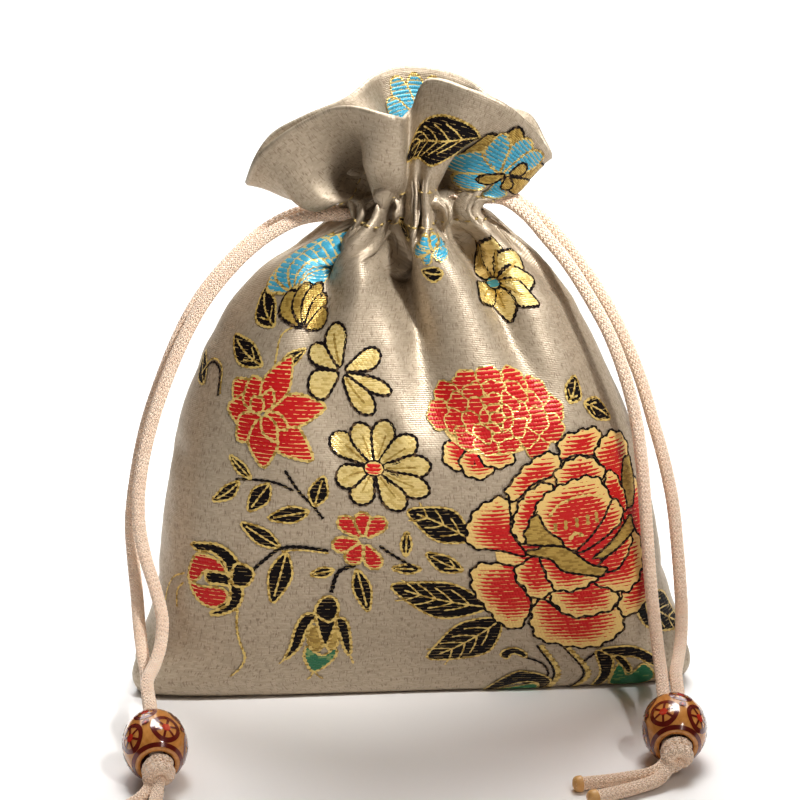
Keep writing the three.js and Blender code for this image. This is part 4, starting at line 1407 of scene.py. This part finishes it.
    for end in at([
        (-13.4, 68.4), (-9.6, 70.4), (-4.8, 70.8), (-0.6, 68.4), (1.4, 64.4), (1, 60), (-2.8, 57.6),
        (-9.6, 58.8), (-12.4, 62),
    ]):
        stroke("gold", [np.array(middle) * 0.7 + np.array(end) * 0.3, end], 0.4)
    blob("red", around(*middle, 2.1, 1.6, 8), None, "blackLine", 0.4)
    ends = [(-14.2, 53), (-9.6, 54.2), (-5.4, 53), (-15.8, 46.4), (-12.6, 42.6), (-7.2, 41.4)]
    flower("crimson", spotAt(-9.6, 47.8), tips(ends, 3.5), "goldLine", "round", 0.16)
    carnation(*spotAt(19.6, 73))
    peony(*spotAt(33, 46))
    middle = spotAt(29, 100.8)
    ends = [(29.5, 108.4), (37, 108.8), (41.4, 105.6), (40.6, 100.4), (37.8, 95.4), (29.4, 92.4), (22, 97)]
    flower("paleGold", middle, tips(ends, 5.4), "blackLine", "point")
    for end in at([
        (29.4, 106), (34.6, 106.4), (37.6, 104), (37, 100.6), (35, 97.2), (29.2, 95.4), (24.6, 98.2),
    ]):
        stroke("gold", [middle, end], 0.45)
    blob("blue", around(*middle, 1.3, 1.3, 8), None, "blackLine", 0.4)
    if whole:
        ends = [(-48, 103), (-49, 107), (-42, 109), (-34.6, 109), (-27, 106)]
        flower("blue", spotAt(-34, 98.4), tips(ends, 7.4), "goldLine", "round", 0.1)
    ends = [(-36.4, 98), (-32.4, 100.2), (-28.4, 100.8), (-24.4, 98.6), (-21.4, 95)]
    flower("gold", spotAt(-26.5, 91.6), tips(ends, 4.8), "blackLine", "round", 0.1)


def ruffleFlowers():
    # On the turned-out top: a large leaf and a blue and gold flower on the right, small ones below
    leaf((23, 133.4), (-8, 130), 9.6, 1.2, 5)
    stroke("goldLine", [(24, 130), (23, 126), (25, 121), (28, 117)], 0.9)
    flower(
        "gold", (35.5, 128),
        [((24.4, 134.6), 5.6), ((30, 139.6), 5.6), ((46.4, 137.6), 5.6), ((48.4, 131), 5.4)], "blackLine",
    )
    flower(
        "blue", (36, 128.4),
        [
            ((26.6, 128.6), 6.4), ((31.6, 121.6), 5.2), ((35, 139.4), 6.4), ((41.4, 139.6), 5.4),
            ((43, 121.6), 5.6), ((27.6, 136.4), 4.6),
        ],
        "goldLine",
    )
    flower("gold", (37.4, 130), [((34, 124.4), 3.2), ((41.4, 127), 3.4), ((40.4, 134.6), 3.4)], "blackLine")
    flower(
        "blue", (8.6, 108.4),
        [
            ((2, 108), 2.8), ((5.6, 110.8), 3), ((10.6, 111), 3), ((15, 108.8), 2.8), ((12.6, 105.6), 2.8),
            ((6.4, 105.4), 2.8),
        ],
        "goldLine",
    )
    leaf((-3, 110.4), (-9.5, 113.2), 3, 0.3)
    leaf((11.6, 102.4), (5.2, 103.6), 3, 0.2)


def rimFlowers():
    # Blue petals on the inner face of the top, which is the same cloth turned in
    flower("gold", (110, 130), [((100, 137), 5), ((119, 138), 5)], "blackLine")
    flower(
        "blue", (111, 128),
        [((97, 133), 7), ((104, 139.4), 7), ((113, 140), 7), ((122, 139), 7), ((128, 134), 7)], "goldLine",
    )


def weaveOn(name, inside=False):
    # Lay the drawn shapes on the cloth, or on its inner face, and start a new drawing
    flat = np.array(patch["flat"])
    low, high = flowerSet["raiseFrom"], flowerSet["raiseTo"]
    raised = flat[:, 1] + flowerSet["raise"] * (1 - ease(flat[:, 1], low, high))
    place, v = 0.25 + flat[:, 0] / girth, np.clip(raised, 0.3, clothHeight)
    lift = np.array(patch["lift"])
    if inside:
        lift = -lift - clothSet["thickness"] - clothSet["turned"]
        patch["faces"] = [face[::-1] for face in patch["faces"]]
    points = clothPoint(place, v) + clothNormal(place, v) * lift[:, None]
    points[:, 2] = np.maximum(points[:, 2], 0.05)
    uvs = (flat + np.array([girth / 4, 0])) * uvScale
    colours = [threadMaterials[thread] for thread in threads]
    piece = meshObject(name, points * mm, patch["faces"], colours, patch["slots"], uvs)
    tip = piece.data.attributes.new("tip", "FLOAT", "POINT")
    tip.data.foreach_set("value", np.array(patch["tip"], dtype=np.float32))
    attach(piece, "pouch")
    print(name, len(patch["faces"]), "faces, highest thread", round(max(patch["lift"]), 2), "mm")
    patch.update({key: [] for key in patchKeys})
    return piece


pattern(0, True)
ruffleFlowers()
frontFlowers = weaveOn("frontFlowers")
pattern(girth / 2, False)
backFlowers = weaveOn("backFlowers")
rimFlowers()
innerFlowers = weaveOn("innerFlowers", True)

# Beads, each with wheels and squares printed round it
printSet = {  # each row of wheels has its level, radius and shift
    "wheels": 5, "turn": {"left": 0.02, "right": 0.42}, "rows": [(-2.0, 2.75, 0), (3.5, 2.2, 0.5)],
    "rim": 0.95, "spokes": 6, "spokeTurn": 0.3, "spoke": 0.5, "spokeAt": (0.5, 1.4), "hub": 0.95,
    "square": 0.72, "squareAt": -0.2, "diamond": 0.6, "band": 5.6, "bandWidth": 0.7, "low": 0.02,
    "lift": 0.05, "most": 0.06,
}
squareEdge = ((-1, -1), (0, -0.95), (1, -1), (0.95, 0), (1, 1), (0, 0.95), (-1, 1), (-0.95, 0))
for sideName, s in sides.items():
    boreRadius = cordSet["diameter"] + beadSet["strandGap"] / 2 + beadSet["boreGap"]
    half, lip = beadSet["length"] / 2, boreRadius + beadSet["lip"]
    lean = math.asin(min(half / (beadSet["diameter"] / 2), beadSet["steepest"]))
    swing = np.linspace(-lean, lean, beadSet["levels"])
    bulge = (np.cos(swing) - math.cos(lean)) / (1 - math.cos(lean))
    wide = lip + (beadSet["diameter"] / 2 - lip) * bulge
    outside = np.stack([wide, half * np.sin(swing) / math.sin(lean)], 1)
    edge, inner = boreRadius + beadSet["edge"], half - beadSet["edgeDepth"]
    profile = np.vstack([outside, [(edge, half), (boreRadius, inner), (boreRadius, -inner), (edge, -half)]])
    lie = unit(s["lie"])
    e1, e2 = acrossAxes(lie)
    steps, n = beadSet["corners"], len(profile)
    points, faces = [], []
    for r, h in profile:
        for k in range(steps):
            turned = 2 * math.pi * k / steps
            points.append(beadPlace(s) + lie * h + r * (math.cos(turned) * e1 + math.sin(turned) * e2))
    for i in range(n):
        for k in range(steps):
            low, high, after = i * steps, (i + 1) % n * steps, (k + 1) % steps
            faces.append((low + k, low + after, high + after, high + k))
    boreSlots = [1 if beadSet["levels"] <= i // steps < n - 1 else 0 for i in range(len(faces))]
    coats = [finishes["lacquer"], finishes["bore"]]
    bead = meshObject(sideName + "Bead", np.array(points) * mm, faces, coats, boreSlots)
    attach(bead, sideName + "_bead")
    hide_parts(sideName + "_bead")
    beadGirth = math.pi * beadSet["diameter"]
    spacing = beadGirth / printSet["wheels"]
    for i in range(printSet["wheels"]):
        for h, radius, shift in printSet["rows"]:
            a = spacing * (i + shift + printSet["turn"][sideName])
            stroke(
                "maroon", around(a, h, radius, radius, 16), printSet["rim"], True, printSet["low"], False,
            )
            for k in range(printSet["spokes"]):
                q = 2 * math.pi * k / printSet["spokes"] + printSet["spokeTurn"]
                spoke = [(a + r * math.cos(q), h + r * math.sin(q)) for r in (*printSet["spokeAt"], radius)]
                stroke("maroon", spoke, printSet["spoke"], False, printSet["low"], False)
            blob("ruby", around(a, h, printSet["hub"], printSet["hub"], 8), None, None)
        h, w = printSet["squareAt"], printSet["square"]
        blob("maroon", [(a + w * x, h + w * y) for x, y in squareEdge], None, None)
        blob("ruby", around(a, h, w * printSet["diamond"], w * printSet["diamond"], 4), None, None)
    band = [(beadGirth * k / 24, -printSet["band"]) for k in range(25)]
    stroke("maroon", band, printSet["bandWidth"], False, printSet["low"], False)
    flat = np.array(patch["flat"])
    height = np.clip(flat[:, 1], -half * 0.97, half * 0.97)
    reach = np.interp(height, outside[:, 1], outside[:, 0])
    reach = reach + printSet["lift"] + np.minimum(np.array(patch["lift"]), printSet["most"])
    turned = (flat[:, 0] / (beadSet["diameter"] / 2))[:, None]
    outward = np.cos(turned) * e1 + np.sin(turned) * e2
    points = beadPlace(s) + lie * height[:, None] + reach[:, None] * outward
    inks = [finishes[ink] for ink in inkNames]
    inkSlots = np.array(patch["slots"]) - len(threads)
    beadPrint = meshObject(sideName + "BeadPrint", points * mm, patch["faces"], inks, inkSlots)
    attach(beadPrint, sideName + "_bead")
    print(bead.name, len(faces), "faces, print", len(patch["faces"]), "faces")
    patch.update({key: [] for key in patchKeys})

# Knots with their tails: the cords wrapped round themselves
knotSet = {
    "turns": 2.1, "radius": 1.95, "rise": 2.3, "start": 0.6, "gap": 2.4, "tuck": 2.6, "tuckIn": 0.75,
    "tuckShare": 0.14, "points": 140, "tight": 0.9, "tailFrom": 2, "flare": 1.65,
    "capAt": (-0.9, -0.2, 0.5, 0.95), "capStep": 0.3, "corners": 12,
}
for sideName, s in sides.items():
    lie = unit(s["lie"])
    centre = beadPlace(s) - lie * (beadSet["length"] / 2 + knotSet["gap"])
    e1, e2 = acrossAxes(lie)
    share = np.linspace(0, 1, knotSet["points"])
    turned = (2 * math.pi * knotSet["turns"] * share + knotSet["start"])[:, None]
    atStart, atEnd = 1 - ease(share, 0, knotSet["tuckShare"]), ease(share, 1 - knotSet["tuckShare"], 1)
    wide = knotSet["radius"] * (1 - knotSet["tuckIn"] * atStart - knotSet["tuckIn"] * atEnd)
    drop = (share - 0.5) * knotSet["rise"] * knotSet["turns"] + knotSet["tuck"] * atStart
    wrap = centre + wide[:, None] * (np.cos(turned) * e1 + np.sin(turned) * e2) + drop[:, None] * lie
    tailStart = centre + lie * knotSet["tailFrom"]
    routes = [wrap] + [smoothRoute([tailStart] + tail, cordSet["step"]) for tail in s["tails"]]
    knot = braid(sideName + "Knot", routes, knotSet["tight"])
    points, faces = [], []
    for tail in s["tails"]:  # singed ends
        end, ahead = np.array(tail[-1]), unit(np.array(tail[-1]) - np.array(tail[-2]))
        cap = smoothRoute([end + ahead * far for far in knotSet["capAt"]], knotSet["capStep"])
        rounded = np.sqrt(np.clip(1 - np.linspace(0, 1, len(cap)) ** 4, 0.02, 1))
        capPoints, capFaces = tubeMesh(cap, knotSet["flare"] * rounded, knotSet["corners"])
        faces += [tuple(len(points) + corner for corner in face) for face in capFaces]
        points += list(capPoints)
    ends = meshObject(sideName + "CordEnds", np.array(points) * mm, faces, [finishes["amber"]])
    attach(ends, "pouch")
    strandPieces[sideName, "Ends"] = ends
    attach(knot, "pouch")
    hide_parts(sideName + "_knot")
    strandPieces[sideName, "Knot"] = knot
    print(knot.name, len(knot.data.polygons), "faces")

# Stitch rows along the channel
stitchSet = {"rows": (-2.6, 5.0), "step": 2.5, "long": 1.9, "thick": 0.3, "lift": 0.14, "points": 700}
acrossX, acrossY, alongZ = np.eye(3)
half, thick = stitchSet["long"] / 2, stitchSet["thick"]
points, faces = spindle(np.zeros(3), alongZ * half, acrossX * thick, acrossY * thick)
oneStitch = meshObject("oneStitch", np.array(points) * mm, faces)
routes = []
for row in stitchSet["rows"]:
    place = np.linspace(0, 1, stitchSet["points"])
    v = np.full(stitchSet["points"], clothSet["channelAt"] + row)
    routes.append(clothPoint(place, v) + clothNormal(place, v) * stitchSet["lift"])
channelStitches = runTree("channelStitches", routes, stitchTree, {
    "Step": stitchSet["step"] * mm, "Stitch": oneStitch, "Thread": finishes["stitchThread"],
})
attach(channelStitches, "pouch")
print(channelStitches.name, len(channelStitches.data.polygons), "faces")
for helper in (leanOne, leanTwo, oneStitch):
    bpy.data.objects.remove(helper)

# Each strand with its route; the knots and cord ends are passed over
for (sideName, word), made in strandPieces.items():
    if word in ("Knot", "Ends"):
        continue
    strand, route = made
